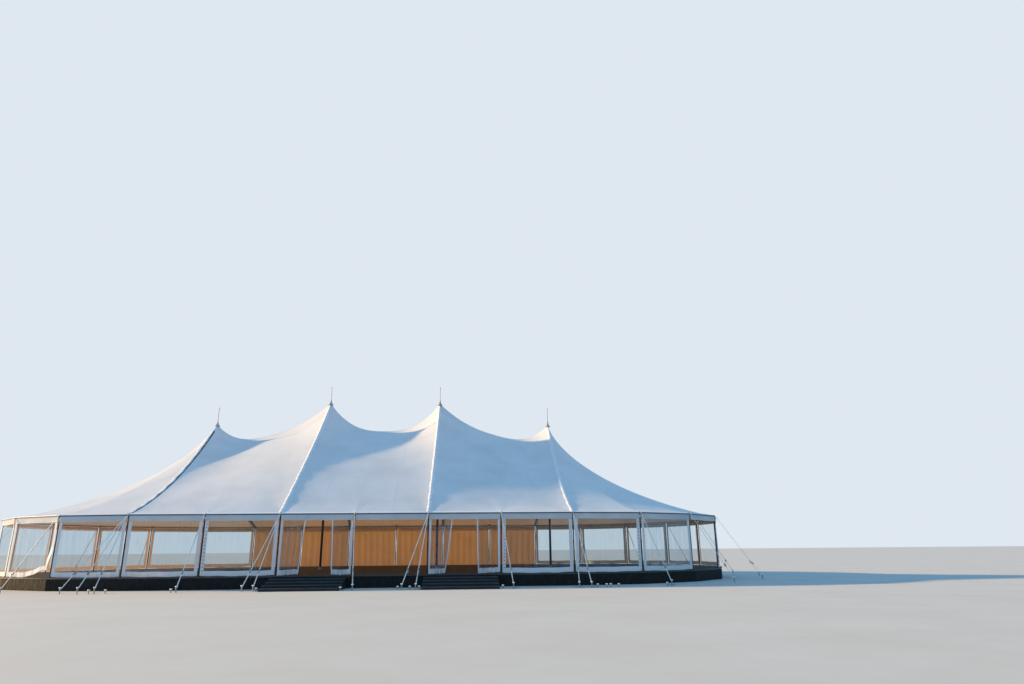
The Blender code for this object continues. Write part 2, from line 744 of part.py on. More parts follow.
def build_floor_frame(made, top):
    """Bearers along and across the tent with a leg at each crossing, as one welded frame."""
    middle = top - BEARER_DEPTH / 2
    up = Vector((0, 0, 1))
    apothem = END_RADIUS * math.cos(CHORD_ANGLE / 2)
    meshes = []
    cross_x = [-HALF_STRAIGHT + k * BAY for k in range(STRAIGHT_BAYS + 1)]
    for y in BEARER_ROWS:
        half = HALF_STRAIGHT + math.sqrt(apothem ** 2 - y ** 2) - BEARER_INSET
        start, end = Vector((-half, y, middle)), Vector((half, y, middle))
        meshes.append(beam("bearer", start, end, BEARER_DEPTH, BEARER_WIDTH, up))
        for x in cross_x + [-half + LEG, half - LEG]:
            meshes.append(beam("leg", Vector((x, y, 0)), Vector((x, y, middle)), LEG, LEG, Vector((1, 0, 0))))
    half_width = END_RADIUS - BEARER_INSET
    for x in cross_x:
        start, end = Vector((x, -half_width, middle)), Vector((x, half_width, middle))
        meshes.append(beam("cross_bearer", start, end, CROSS_BEARER_DEPTH, BEARER_WIDTH, up))
    fused("floor_frame", meshes, made["frame"])


def step_profile(inset):
    """Outline of the steps from the skirt out and down, as (out, height), set in by inset."""
    outline = []
    for n in range(STEP_COUNT):
        level = (STEP_COUNT - n) * STEP_RISE - inset
        outline.append((n * STEP_RUN - (inset if n else 0), level))
        outline.append(((n + 1) * STEP_RUN - inset, level))
    return outline


def prism(name, outline, left, right, front):
    """Extrude an outline of (out, height) pairs between two x values, out from the front line."""
    mesh = bpy.data.meshes.new(name)
    shape = bmesh.new()
    face = shape.faces.new([shape.verts.new((left, front - out, level)) for out, level in outline])
    grown = bmesh.ops.extrude_face_region(shape, geom=[face])
    moved = [item for item in grown["geom"] if isinstance(item, bmesh.types.BMVert)]
    bmesh.ops.translate(shape, vec=Vector((right - left, 0, 0)), verts=moved)
    bmesh.ops.recalc_face_normals(shape, faces=shape.faces)
    shape.to_mesh(mesh)
    shape.free()
    return mesh


def build_steps(made):
    """A flight at each entrance: one folded plate on three stringers."""
    front = -(END_RADIUS + FLOOR_MARGIN) - SEAT
    for bay, word in zip(ENTRANCE_BAYS, ("left", "right")):
        first = pole_at(bay).x + STEP_SIDE_GAP - STEP_SHIFT
        last = pole_at(bay + 1).x - STEP_SIDE_GAP - STEP_SHIFT
        reach = STEP_COUNT * STEP_RUN
        plate = step_profile(0.0) + [(reach, 0.0), (reach - STEP_PLATE, 0.0)]
        plate += list(reversed(step_profile(STEP_PLATE)))
        inner = step_profile(STRINGER_CLEAR) + [(reach - STRINGER_CLEAR, 0.0), (0.0, 0.0)]
        meshes = [prism("plate", plate, first, last, front)]
        for share in (0.0, 0.5, 1.0):
            left = first + STRINGER_INSET + (last - first - 2 * STRINGER_INSET - STRINGER) * share
            meshes.append(prism("stringer", inner, left, left + STRINGER, front))
        fused(f"steps_{word}", meshes, made["steps"])


def main():
    """Build the tent from the floor up."""
    clear_scene()
    made = make_materials()
    build_floor(made)
    build_steps(made)
    build_centre_poles(made)
    build_side_poles(made)
    build_roof(made)
    build_walls(made)
    build_guys(made)


main()
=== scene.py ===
"""Looks of a large round-ended pole tent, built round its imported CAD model, in metres, +Z up.

The CAD model is the frame. Its centre poles, crown caps, floor and steps stay, and get their
finishes here. Each cloth, strap and side pole is replaced by a finer piece in the same place. The
plan and the canopy's form repeat the CAD model's own rules, so that each piece lies where the
solid that it stands for lies.
"""
import logging
import math
from collections.abc import Callable, Sequence
from dataclasses import dataclass, field
from enum import Enum
from functools import partial
from typing import NamedTuple

import bmesh
import bpy
import numpy as np
from mathutils import Euler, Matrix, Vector


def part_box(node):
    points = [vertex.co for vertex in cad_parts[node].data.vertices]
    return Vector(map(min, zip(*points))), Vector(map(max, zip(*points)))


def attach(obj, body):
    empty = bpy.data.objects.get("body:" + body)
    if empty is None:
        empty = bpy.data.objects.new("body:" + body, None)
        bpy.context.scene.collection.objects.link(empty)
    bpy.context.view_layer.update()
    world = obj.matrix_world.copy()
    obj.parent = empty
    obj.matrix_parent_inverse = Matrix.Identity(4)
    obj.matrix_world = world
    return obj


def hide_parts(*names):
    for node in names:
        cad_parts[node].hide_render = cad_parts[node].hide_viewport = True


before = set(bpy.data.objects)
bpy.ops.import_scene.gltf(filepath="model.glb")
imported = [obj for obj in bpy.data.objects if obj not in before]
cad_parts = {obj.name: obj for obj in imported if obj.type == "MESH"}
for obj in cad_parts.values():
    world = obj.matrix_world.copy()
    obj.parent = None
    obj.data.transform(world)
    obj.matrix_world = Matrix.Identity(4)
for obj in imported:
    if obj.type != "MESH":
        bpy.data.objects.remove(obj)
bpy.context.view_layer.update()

log = logging.getLogger("tent")

ROOT = "root"
UP = np.array((0.0, 0.0, 1.0))

Array = np.ndarray
Node = bpy.types.Node
Adder = Callable[..., Node]
Pair = tuple[float, float]
Triple = tuple[float, float, float]
Row = tuple[float, ...]
Profile = tuple[Pair, ...]


class Side(Enum):
    """The tent's four sides, named as in the CAD model's nodes."""

    FRONT = "front"
    RIGHT = "right"
    BACK = "back"
    LEFT = "left"


class Panel(Enum):
    """What a stretch of a clear panel is made of, and the number of its finish in the mesh."""

    BORDER = 0
    WINDOW = 1
    LAP = 2


def smooth_step(x: float | Array) -> Array:
    """0 below 0, 1 above 1, and an even curve between."""
    x = np.clip(x, 0, 1)
    return x * x * (3 - 2 * x)


def travelled(places: Array) -> Array:
    """Distance from the first place of a line to each one, or down each column of a grid."""
    steps = np.linalg.norm(np.diff(places, axis=0), axis=-1)
    return np.concatenate((np.zeros_like(steps[:1]), np.cumsum(steps, axis=0)))


def at_level(plan: Array, level: float | Array) -> Array:
    """Plan points as places at a level."""
    return np.concatenate((plan, np.broadcast_to(level, plan.shape[:-1])[..., None]), axis=-1)


def sideways(way: Array) -> Array:
    """The plan vector a quarter turn to the left of a plan vector."""
    return np.array((-way[1], way[0]))


def stations(length: float, edges: Row, step: float) -> Array:
    """Places evenly spaced between given ones.

    Args:
        length: where they end; they start at 0.
        edges: places that have to be among them.
        step: about how far apart they are.

    Returns:
        The places in order.
    """
    stops = sorted({0.0, length, *edges})
    parts = [np.linspace(a, b, max(2, round((b - a) / step) + 1))[:-1]
             for a, b in zip(stops, stops[1:])]
    return np.append(np.concatenate(parts), length)


@dataclass(frozen=True)
class Plan:
    """The ring of side poles and the levels, as in the CAD model."""

    bay: float = 3.048
    straight_bays: int = 6
    end_bays: int = 9
    centre_poles: int = 4
    floor_top: float = 0.50
    floor_margin: float = 0.15
    eave: float = 2.95
    overhang: float = 0.060

    @property
    def half_straight(self) -> float:
        """Half the length of the straight sides."""
        return self.straight_bays * self.bay / 2

    @property
    def pitch(self) -> float:
        """Distance between two centre poles."""
        return self.straight_bays * self.bay / (self.centre_poles - 1)

    @property
    def chord_angle(self) -> float:
        """Angle that one bay of a round end takes."""
        return math.pi / self.end_bays

    @property
    def radius(self) -> float:
        """Radius of the round ends, and half the tent's width over the poles."""
        return self.bay / 2 / math.sin(self.chord_angle / 2)

    @property
    def reach(self) -> float:
        """Half the tent's width over the eaves."""
        return self.radius + self.overhang

    @property
    def bays(self) -> int:
        """Number of bays all round."""
        return 2 * (self.straight_bays + self.end_bays)

    def peak_x(self, k: int) -> float:
        """Where centre pole k stands, on the ridge."""
        return -self.half_straight + k * self.pitch

    def pole(self, i: int) -> Array:
        """Where a side pole stands.

        Args:
            i: its number, counter-clockwise from the left end of the front.

        Returns:
            Its plan point.
        """
        i %= self.bays
        side = 1.0
        if i >= self.bays // 2:
            side = -1.0
            i -= self.bays // 2
        if i <= self.straight_bays:
            return side * np.array((-self.half_straight + i * self.bay, -self.radius))
        angle = -math.pi / 2 + (i - self.straight_bays) * self.chord_angle
        x = self.half_straight + self.radius * math.cos(angle)
        return side * np.array((x, self.radius * math.sin(angle)))

    def along(self, i: int) -> Array:
        """Unit plan vector along bay i."""
        run = self.pole(i + 1) - self.pole(i)
        return run / np.linalg.norm(run)

    def out(self, i: int) -> Array:
        """Unit plan vector out of bay i."""
        return -sideways(self.along(i))

    def mitre(self, i: int) -> Array:
        """The way out at pole i, one unit off both its bays."""
        before, after = self.out(i - 1), self.out(i)
        return (before + after) / (1 + before @ after)

    def off_pole(self, i: int, offset: float) -> Array:
        """Plan point at pole i's corner, set out by offset."""
        return self.pole(i) + self.mitre(i) * offset

    def in_bay(self, i: int, distance: float | Array, offset: float | Array) -> Array:
        """Plan points this far along bay i from its first pole, set out by offset."""
        return (self.pole(i) + np.multiply.outer(distance, self.along(i))
                + np.multiply.outer(offset, self.out(i)))

    def bays_of(self, side: Side) -> range:
        """The bays of one side.

        Args:
            side: one of the four.

        Returns:
            Their numbers.
        """
        right = self.straight_bays
        back = right + self.end_bays
        left = back + self.straight_bays
        return {Side.FRONT: range(0, right), Side.RIGHT: range(right, back),
                Side.BACK: range(back, left), Side.LEFT: range(left, self.bays)}[side]

    def poles_of(self, side: Side) -> range:
        """The poles that the CAD model counts to a side.

        The corners belong to the front and back.

        Args:
            side: one of the four.

        Returns:
            Their numbers.
        """
        run = self.bays_of(side)
        if side in (Side.FRONT, Side.BACK):
            return range(run[0], run[-1] + 2)
        return range(run[0] + 1, run[-1] + 1)

    def guy_way(self, i: int) -> Array:
        """The way that a pole's guys run out.

        Args:
            i: the pole's number.

        Returns:
            A unit plan vector.
        """
        if i in self.poles_of(Side.FRONT):
            return np.array((0.0, -1.0))
        if i in self.poles_of(Side.BACK):
            return np.array((0.0, 1.0))
        way = self.mitre(i)
        return way / np.linalg.norm(way)

    def guy_axes(self, i: int) -> tuple[Array, Array]:
        """Level unit vectors at pole i: the way its guys run out, and the way to their left."""
        way = self.guy_way(i)
        return at_level(way, 0.0), at_level(sideways(way), 0.0)


PLAN = Plan()


@dataclass(frozen=True)
class CanopyForm:
    """The canopy's height over the plan: the CAD model's rules, and the cloth's own creases.

    Rises, bows, sags and the crown's drop are the CAD model's. A bow is how far a line hangs
    inside the straight one, as a share of the rise, and the power that shapes it. The fold is the
    hollow beside each laced seam. Pleats spread from the crowns, and pulls run in from the poles
    of the eave. Both die out at the seams, and pulls also at the hem.
    """

    outer_rise: float = 5.22
    inner_rise: float = 6.43
    inner_bow: Pair = (0.105, 0.65)
    outer_bow: Pair = (0.50, 1.0)
    end_bow: Pair = (0.71, 0.40)
    end_tip: float = 0.01
    middle_sag: float = 1.57
    low_side_sag: float = 1.45
    high_side_sag: float = 0.85
    sag_power: float = 2.65
    sag_fade: float = 2.7
    crown_drop: float = 0.10
    fold_depth: float = 0.060
    fold_width: float = 0.40
    fold_edge: float = 0.08
    pleats: int = 22
    pleat_height: float = 0.013
    pleat_start: float = 0.20
    pleat_reach: float = 0.75
    pulls: int = 6
    pull_height: float = 0.012
    pull_start: float = 0.50
    pull_reach: float = 0.80
    hem_margin: float = 0.25
    seam_margin: float = 0.10

    def is_outer(self, k: int) -> bool:
        """Whether peak k is one of the two outer ones."""
        return k in (0, PLAN.centre_poles - 1)

    def rise(self, k: int) -> float:
        """Height of peak k above the eave."""
        return self.outer_rise if self.is_outer(k) else self.inner_rise

    def crown_level(self, k: int) -> float:
        """Underside of the crown cap at peak k."""
        return PLAN.eave + self.rise(k) - self.crown_drop

    def seam(self, k: int, s: Array) -> Array:
        """Height above the eave on the seam below peak k, s from 0 at the peak to 1 at the eave."""
        bow, power = self.outer_bow if self.is_outer(k) else self.inner_bow
        return self.rise(k) * (1 - s) * (1 - bow * s ** power)

    def sag(self, k: int, t: Array) -> Array:
        """How far the ridge hangs below the line between two peaks.

        Args:
            k: number of the first one.
            t: share of the way to the second.

        Returns:
            The depths.
        """
        ends = (self.middle_sag, self.middle_sag)
        if k == 0:
            ends = (self.low_side_sag, self.high_side_sag)
        elif k == PLAN.centre_poles - 2:
            ends = (self.high_side_sag, self.low_side_sag)
        depth = ends[0] * (1 - t) + ends[1] * t
        return depth * (1 - np.abs(1 - 2 * np.minimum(t, 1 - t)) ** self.sag_power)

    def fold(self, distance: Array, s: Array) -> Array:
        """How far the cloth falls away beside a laced seam, which holds it up.

        Args:
            distance: plan distance from the seam.
            s: share of the way from peak to eave.

        Returns:
            The depths.
        """
        edge = np.clip((1 - s) / self.fold_edge, 0, 1)
        away = 1 - np.exp(-distance / self.fold_width)
        return self.fold_depth * away * edge * np.sqrt(np.clip(s, 0, 1))

    def pleat(self, along: Array, away: Array) -> Array:
        """Pleats gathered at a crown.

        Args:
            along: plan distance along the ridge from the peak.
            away: plan distance from the ridge.

        Returns:
            Heights to add.
        """
        far = np.hypot(along, away)
        size = self.pleat_height * np.exp(-far / self.pleat_reach) * far / (far + self.pleat_start)
        return size * np.sin(self.pleats * np.arctan2(away, along))

    def pull(self, along: Array, inside: Array) -> Array:
        """Creases that run in from a pole of the eave.

        Args:
            along: plan distance along the eave from the pole.
            inside: plan distance in from the eave.

        Returns:
            Heights to add.
        """
        far = np.hypot(along, inside)
        size = self.pull_height * np.exp(-far / self.pull_reach)
        size = size * smooth_step(inside / self.hem_margin) * smooth_step(far / self.pull_start)
        return size * np.cos(self.pulls * np.arctan2(along, inside))

    def creases(self, off_seam: Array, off_ridge: Array, off_pole: Array, inside: Array) -> Array:
        """Pleats and pulls together, dying out at the seam.

        Args:
            off_seam: plan distance from the nearest seam.
            off_ridge: plan distance from the ridge.
            off_pole: plan distance along the eave from the nearest pole.
            inside: plan distance in from the eave.

        Returns:
            Heights to add.
        """
        both = self.pleat(off_seam, off_ridge) + self.pull(off_pole, inside)
        return both * np.sqrt(np.clip(off_seam / self.seam_margin, 0, 1))

    def bay_height(self, k: int, t: Array, s: Array) -> Array:
        """The canopy's height between two peaks.

        Args:
            k: number of the first one.
            t: share of the way along the ridge to the second.
            s: share of the way from the ridge to the eave.

        Returns:
            Heights above the eave.
        """
        straight = self.seam(k, s) * (1 - t) + self.seam(k + 1, s) * t
        off_seam = np.minimum(t, 1 - t) * PLAN.pitch
        loose = self.sag(k, t) * (1 - s) ** self.sag_fade + self.fold(off_seam, s)
        off_pole = t * PLAN.pitch - PLAN.bay * np.round(t * PLAN.pitch / PLAN.bay)
        inside = (1 - s) * PLAN.radius
        return straight - loose + self.creases(off_seam, s * PLAN.radius, off_pole, inside)

    def end_height(self, angle: Array, s: Array) -> Array:
        """The canopy's height over a round end.

        Args:
            angle: turn from the ridge's line.
            s: share of the way from peak to eave.

        Returns:
            Heights above the eave.
        """
        bow, power = self.end_bow
        drop = bow * ((s + self.end_tip) ** power - self.end_tip ** power)
        slope = self.outer_rise * (1 - s) * (1 - drop)
        mix = smooth_step(np.minimum(1.0, np.abs(angle) / (math.pi / 2)) ** 2)
        off_seam = np.clip(np.cos(angle), 0, 1) * s * PLAN.radius
        off_ridge = np.abs(np.sin(angle)) * s * PLAN.radius
        chords = (angle + math.pi / 2) / PLAN.chord_angle
        off_pole = (chords - np.round(chords)) * PLAN.bay * s
        smooth = slope * (1 - mix) + self.seam(0, s) * mix - self.fold(off_seam, s)
        return smooth + self.creases(off_seam, off_ridge, off_pole, (1 - s) * PLAN.radius)

    def end_edge(self, angle: float | Array) -> Array:
        """How far the eave, along its chords, is from an end's centre.

        Args:
            angle: turn from the ridge's line.

        Returns:
            Plan distances.
        """
        chord = np.floor((angle + math.pi / 2) / PLAN.chord_angle + 1e-6)
        chord = np.minimum(PLAN.end_bays - 1, chord)
        middle = -math.pi / 2 + (chord + 0.5) * PLAN.chord_angle
        edge = PLAN.radius * math.cos(PLAN.chord_angle / 2) + PLAN.overhang
        return np.minimum(edge / np.cos(angle - middle),
                          PLAN.reach / np.maximum(np.abs(np.sin(angle)), 0.5))

    def top(self, plan: Array) -> Array:
        """Level of the canopy's top.

        Args:
            plan: plan points, along the last axis.

        Returns:
            The level over each.
        """
        level = np.empty(plan.shape[:-1])
        for index in np.ndindex(level.shape):
            x, y = plan[index]
            past = abs(x) - PLAN.half_straight
            if past > 0:
                angle = math.atan2(y, past)
                s = min(1.0, math.hypot(past, y) / float(self.end_edge(angle)))
                level[index] = PLAN.eave + self.end_height(angle, s)
            else:
                steps = (x + PLAN.half_straight) / PLAN.pitch
                k = min(PLAN.centre_poles - 2, int(steps + 1e-6))
                s = min(1.0, abs(y) / PLAN.reach)
                level[index] = PLAN.eave + self.bay_height(k, steps - k, s)
        return level

    def over(self, plan: Array, lift: float | Array) -> Array:
        """Places this far over the canopy's top at plan points."""
        return at_level(plan, self.top(plan) + lift)


FORM = CanopyForm()


def linear(code: str) -> tuple[float, float, float, float]:
    """Linear colour of an sRGB hex code such as "#a0b1c2"."""
    values = [int(code[i:i + 2], 16) / 255 for i in (1, 3, 5)]
    return (*(v / 12.92 if v <= 0.04045 else ((v + 0.055) / 1.055) ** 2.4 for v in values), 1.0)


def mm(size: float) -> float:
    """Scale of a noise texture in metres whose pattern repeats each size millimetres."""
    return 1000.0 / size


def add_node(tree: bpy.types.NodeTree, kind: str, values: dict | None = None,
             links: dict | None = None, **settings: object) -> Node:
    """Add a node to a tree.

    Args:
        tree: the node tree.
        kind: Blender's name of the node without the prefix, such as "TexNoise".
        values: what to set on its inputs, by name or number.
        links: what to link to its inputs, by name or number: a socket, or a node for its first.
        settings: the node's own properties.

    Returns:
        The new node.
    """
    node = tree.nodes.new("ShaderNode" + kind)
    for name, value in settings.items():
        setattr(node, name, value)
    for name, value in (values or {}).items():
        node.inputs[name].default_value = value
    for name, source in (links or {}).items():
        socket = source.outputs[0] if isinstance(source, Node) else source
        tree.links.new(socket, node.inputs[name])
    return node


class Finish:
    """A finish: one material, made the first time that it is asked for."""

    name: str
    made: dict[str, bpy.types.Material] = {}

    def paint(self, add: Adder) -> Node:
        """Build the finish's nodes and give the shader that they end in."""
        raise NotImplementedError

    def material(self) -> bpy.types.Material:
        """Make the finish's material, or give the one made before.

        Returns:
            The material.
        """
        if self.name not in Finish.made:
            material = bpy.data.materials.new(self.name)
            material.use_nodes = True
            material.node_tree.nodes.clear()
            add = partial(add_node, material.node_tree)
            add("OutputMaterial", links={"Surface": self.paint(add)})
            Finish.made[self.name] = material
        return Finish.made[self.name]


@dataclass(frozen=True)
class CoatedCloth(Finish):
    """PVC-coated polyester: a woven scrim, knife-coated on both sides and welded into sheets.

    The coat gives a satin skin that lets some light through. The welds are two cloths thick, so
    they show as paler lines outside and darker ones inside. The scrim's threads lie 1.1 mm apart,
    too fine to show, so they are drawn 24 mm apart.
    """

    name: str = "coated_cloth"
    colour: str = "#eceef0"
    soiled: str = "#dcdfe2"
    glow: str = "#ffc68c"
    through: float = 0.17
    roughness: float = 0.42
    soil_mm: float = 1700.0
    weld_pitch: float = 1.524
    weld_width: float = 0.055
    weld_step: float = 0.006
    weld_shade: str = "#e4e7ea"
    scrim_mm: float = 24.0
    crease_mm: float = 900.0
    crease_height: float = 0.010

    def paint(self, add: Adder) -> Node:
        """Satin white cloth with welds, a faint scrim, soft creases and light coming through.

        Args:
            add: adds a node to the material.

        Returns:
            The surface's shader node.
        """
        place = add("TexCoord").outputs["Object"]
        cloth = add("UVMap", uv_map="cloth").outputs["UV"]
        across = add("SeparateXYZ", links={0: cloth}).outputs["X"]
        stain = add("TexNoise", {"Scale": mm(self.soil_mm), "Detail": 6.0,
                                 "Roughness": 0.6}, {"Vector": place})
        soil = add("MapRange", {1: 0.42, 2: 0.72}, {0: stain})
        base = add("Mix", {6: linear(self.colour), 7: linear(self.soiled)},
                   {0: soil}, data_type="RGBA")
        off_weld = add("Math", {1: self.weld_pitch / 2}, {0: across}, operation="PINGPONG")
        edge = self.weld_width / 2
        weld = add("MapRange", {1: edge, 2: edge + self.weld_step, 3: 1.0, 4: 0.0}, {0: off_weld})
        colour = add("Mix", {7: linear(self.weld_shade)},
                     {0: weld, 6: base.outputs[2]}, data_type="RGBA")
        crease = add("TexNoise", {"Scale": mm(self.crease_mm), "Detail": 4.0,
                                  "Roughness": 0.45}, {"Vector": place})
        thread = self.scrim_mm / 1000
        scrim = add("TexBrick", {"Scale": 1.0, "Mortar Size": thread / 6,
                                 "Brick Width": thread, "Row Height": thread},
                    {"Vector": cloth}, offset=0.0)
        soft = add("Bump", {"Strength": 0.5, "Distance": self.crease_height}, {"Height": crease})
        lap = add("Bump", {"Strength": 0.4, "Distance": 0.0012}, {"Height": weld, "Normal": soft})
        bump = add("Bump", {"Strength": 0.15, "Distance": 0.0004},
                   {"Height": scrim.outputs["Fac"], "Normal": lap})
        skin = add("BsdfPrincipled", {"Roughness": self.roughness, "IOR": 1.5,
                                      "Coat Weight": 0.15, "Coat Roughness": 0.3},
                   {"Base Color": colour.outputs[2], "Normal": bump})
        glow = add("BsdfTranslucent", {"Color": linear(self.glow)}, {"Normal": bump})
        return add("MixShader", {0: self.through}, {1: skin, 2: glow})


@dataclass(frozen=True)
class ClearVinyl(Finish):
    """Press-polished clear PVC sheet, 0.5 mm.

    It bends in long ripples, so its gloss runs in wavy bands. Pale upright streaks, where more of
    its hazy skin shows, are painted reflection: the streaky glare of its long folds. Both patterns
    are drawn out down the sheet.
    """

    name: str = "clear_vinyl"
    tint: str = "#e6edf0"
    haze: str = "#c9d6df"
    haze_share: float = 0.035
    slant_share: float = 0.20
    roughness: float = 0.08
    ior: float = 1.53
    ripple_mm: float = 420.0
    ripple_squash: float = 0.32
    ripple_height: float = 0.010
    streak_mm: float = 110.0
    streak_squash: float = 0.07
    streak_share: float = 0.18

    def paint(self, add: Adder) -> Node:
        """Clear sheet with a hazy skin whose share grows where it is seen at a slant.

        Args:
            add: adds a node to the material.

        Returns:
            The surface's shader node.
        """
        cloth = add("UVMap", uv_map="cloth").outputs["UV"]
        stretched = add("Mapping", {"Scale": (1.0, self.ripple_squash, 1.0)}, {"Vector": cloth})
        ripple = add("TexNoise", {"Scale": mm(self.ripple_mm), "Detail": 3.0,
                                  "Roughness": 0.5, "Distortion": 0.6}, {"Vector": stretched})
        bump = add("Bump", {"Strength": 0.8, "Distance": self.ripple_height}, {"Height": ripple})
        skin = add("BsdfPrincipled", {"Base Color": linear(self.haze), "IOR": self.ior,
                                      "Roughness": self.roughness, "Specular IOR Level": 0.6},
                   {"Normal": bump})
        clear = add("BsdfTransparent", {"Color": linear(self.tint)})
        slant = add("Fresnel", {"IOR": self.ior}, {"Normal": bump})
        share = add("MapRange", {1: 0.04, 2: 0.7, 3: self.haze_share,
                                 4: self.slant_share}, {0: slant})
        # Pale upright streaks of hazy skin: painted reflection.
        upright = add("Mapping", {"Scale": (1.0, self.streak_squash, 1.0)}, {"Vector": cloth})
        streak = add("TexNoise", {"Scale": mm(self.streak_mm), "Detail": 3.0,
                                  "Roughness": 0.55, "Distortion": 0.3}, {"Vector": upright})
        pale = add("MapRange", {1: 0.55, 2: 0.78, 3: 0.0, 4: self.streak_share}, {0: streak})
        total = add("Math", links={0: share, 1: pale}, operation="ADD", use_clamp=True)
        return add("MixShader", links={0: total, 1: clear, 2: skin})


@dataclass(frozen=True)
class Webbing(Finish):
    """Woven polyester webbing: matt, with ribs across it each 2 mm.

    Ribs that fine don't show, so they are drawn as waves 50 mm apart. A wave texture turns 20
    radians in a metre at scale 1.
    """

    name: str = "white_webbing"
    colour: str = "#dcd8d2"
    worn: str = "#b3aea7"
    rib_mm: float = 50.0
    wear_mm: float = 350.0
    roughness: float = 0.75

    def paint(self, add: Adder) -> Node:
        """Ribbed matt band, greyed where hands and weather wear it.

        Args:
            add: adds a node to the material.

        Returns:
            The surface's shader node.
        """
        cloth = add("UVMap", uv_map="cloth").outputs["UV"]
        place = add("TexCoord").outputs["Object"]
        scale = mm(self.rib_mm) * 2 * math.pi / 20
        rib = add("TexWave", {"Scale": scale, "Distortion": 0.4}, {"Vector": cloth},
                  bands_direction="Y")
        wear = add("TexNoise", {"Scale": mm(self.wear_mm), "Detail": 4.0}, {"Vector": place})
        share = add("MapRange", {1: 0.5, 2: 0.75}, {0: wear})
        colour = add("Mix", {6: linear(self.colour), 7: linear(self.worn)},
                     {0: share}, data_type="RGBA")
        bump = add("Bump", {"Strength": 0.6, "Distance": 0.001}, {"Height": rib.outputs["Fac"]})
        return add("BsdfPrincipled", {"Roughness": self.roughness, "Sheen Weight": 0.3,
                                      "Sheen Roughness": 0.4},
                   {"Base Color": colour.outputs[2], "Normal": bump})


@dataclass(frozen=True)
class GrainedFinish(Finish):
    """A solid finish with two shades mottled at one size, and a bump of the same grain."""

    name: str
    light: str
    dark: str
    grain_mm: float
    stretch: Triple = (1.0, 1.0, 1.0)
    metallic: float = 0.0
    roughness: float = 0.5
    bump: float = 0.0005

    def paint(self, add: Adder) -> Node:
        """Two shades and a bump from one noise, stretched along the grain.

        Args:
            add: adds a node to the material.

        Returns:
            The surface's shader node.
        """
        place = add("TexCoord").outputs["Object"]
        stretched = add("Mapping", {"Scale": self.stretch}, {"Vector": place})
        grain = add("TexNoise", {"Scale": mm(self.grain_mm), "Detail": 6.0,
                                 "Roughness": 0.6}, {"Vector": stretched})
        share = add("MapRange", {1: 0.35, 2: 0.68}, {0: grain})
        colour = add("Mix", {6: linear(self.light), 7: linear(self.dark)},
                     {0: share}, data_type="RGBA")
        rough = add("MapRange", {1: 0.3, 2: 0.7, 3: self.roughness * 0.85,
                                 4: min(1.0, self.roughness * 1.2)}, {0: grain})
        bump = add("Bump", {"Strength": 0.4, "Distance": self.bump}, {"Height": grain})
        return add("BsdfPrincipled", {"Metallic": self.metallic},
                   {"Base Color": colour.outputs[2], "Roughness": rough, "Normal": bump})


@dataclass(frozen=True)
class FloorBoards(Finish):
    """Phenolic-faced birch plywood, pressed in sheets of 1.22 by 2.44 m.

    The resin face is a dull dark skin. The sheets' thin open joints show as lines, and feet leave
    a paler scuff all over.
    """

    name: str = "plywood_floor"
    light: str = "#35302c"
    dark: str = "#2a2623"
    joint: str = "#100e0d"
    scuffed: str = "#504a44"
    scuff_mm: float = 240.0
    sheet: Pair = (2.44, 1.22)
    joint_width: float = 0.006

    def paint(self, add: Adder) -> Node:
        """Sheets laid in rows with broken joints, each a little different, scuffed all over.

        Args:
            add: adds a node to the material.

        Returns:
            The surface's shader node.
        """
        place = add("TexCoord").outputs["Object"]
        length, width = self.sheet
        sheets = add("TexBrick", {"Color1": linear(self.light), "Color2": linear(self.dark),
                                  "Mortar": linear(self.joint), "Scale": 1.0,
                                  "Mortar Size": self.joint_width / 2,
                                  "Brick Width": length, "Row Height": width},
                     {"Vector": place})
        scuff = add("TexNoise", {"Scale": mm(self.scuff_mm), "Detail": 8.0,
                                 "Roughness": 0.7}, {"Vector": place})
        share = add("MapRange", {1: 0.45, 2: 0.8, 3: 0.0, 4: 0.5}, {0: scuff})
        colour = add("Mix", {7: linear(self.scuffed)},
                     {0: share, 6: sheets.outputs["Color"]}, data_type="RGBA")
        rough = add("MapRange", {3: 0.5, 4: 0.85}, {0: scuff})
        bump = add("Bump", {"Strength": 0.5, "Distance": 0.002},
                   {"Height": sheets.outputs["Fac"]}, invert=True)
        return add("BsdfPrincipled",
                   links={"Base Color": colour.outputs[2], "Roughness": rough, "Normal": bump})


# Coated polyester of the canopy: white, satin, and just thin enough to glow when lit from behind.
CANOPY_CLOTH = CoatedCloth()
# The same cloth in single narrow strips, creased finely where it flaps. Its darker, bluer grey
# is painted shade: the eave's shadow on the strip.
VALANCE_CLOTH = CoatedCloth("valance_cloth", "#cfd8de", "#b4c0c8", through=0.18, weld_pitch=3.048,
                            crease_mm=300.0, crease_height=0.008)
# The same cloth folded double and welded: hardly any light comes through, so it looks whiter.
HEM_CLOTH = CoatedCloth("hem_cloth", "#f4f5f5", "#e6e8ea", through=0.05, weld_pitch=40.0,
                        crease_mm=160.0, crease_height=0.002)
# Lighter coated polyester round the windows: smooth, white, with small creases from rolling up.
BORDER_CLOTH = CoatedCloth("wall_border_cloth", "#e8edf0", "#d6dde1", through=0.16,
                           weld_pitch=40.0, crease_mm=160.0, crease_height=0.004)
# Where the clear sheet is welded over the border's edge: the same cloth under a glossy skin.
LAP_CLOTH = CoatedCloth("welded_lap", "#dbe3e8", "#cbd5db", through=0.16, roughness=0.16,
                        weld_pitch=40.0, crease_mm=60.0, crease_height=0.0012)
# Ivory coated polyester of the plain walls: its thin coat glows golden inside in low sun.
WALL_CLOTH = CoatedCloth("plain_wall_cloth", "#e8e2d6", "#d8cfbf", "#f2a040", through=0.25,
                         crease_mm=260.0, crease_height=0.004)
# Clear PVC of the windows: polished between rollers, so glossy, wavy and a little hazy.
WINDOW = ClearVinyl()
# White polyester webbing of the guys: woven, matt and ribbed.
STRAP = Webbing()
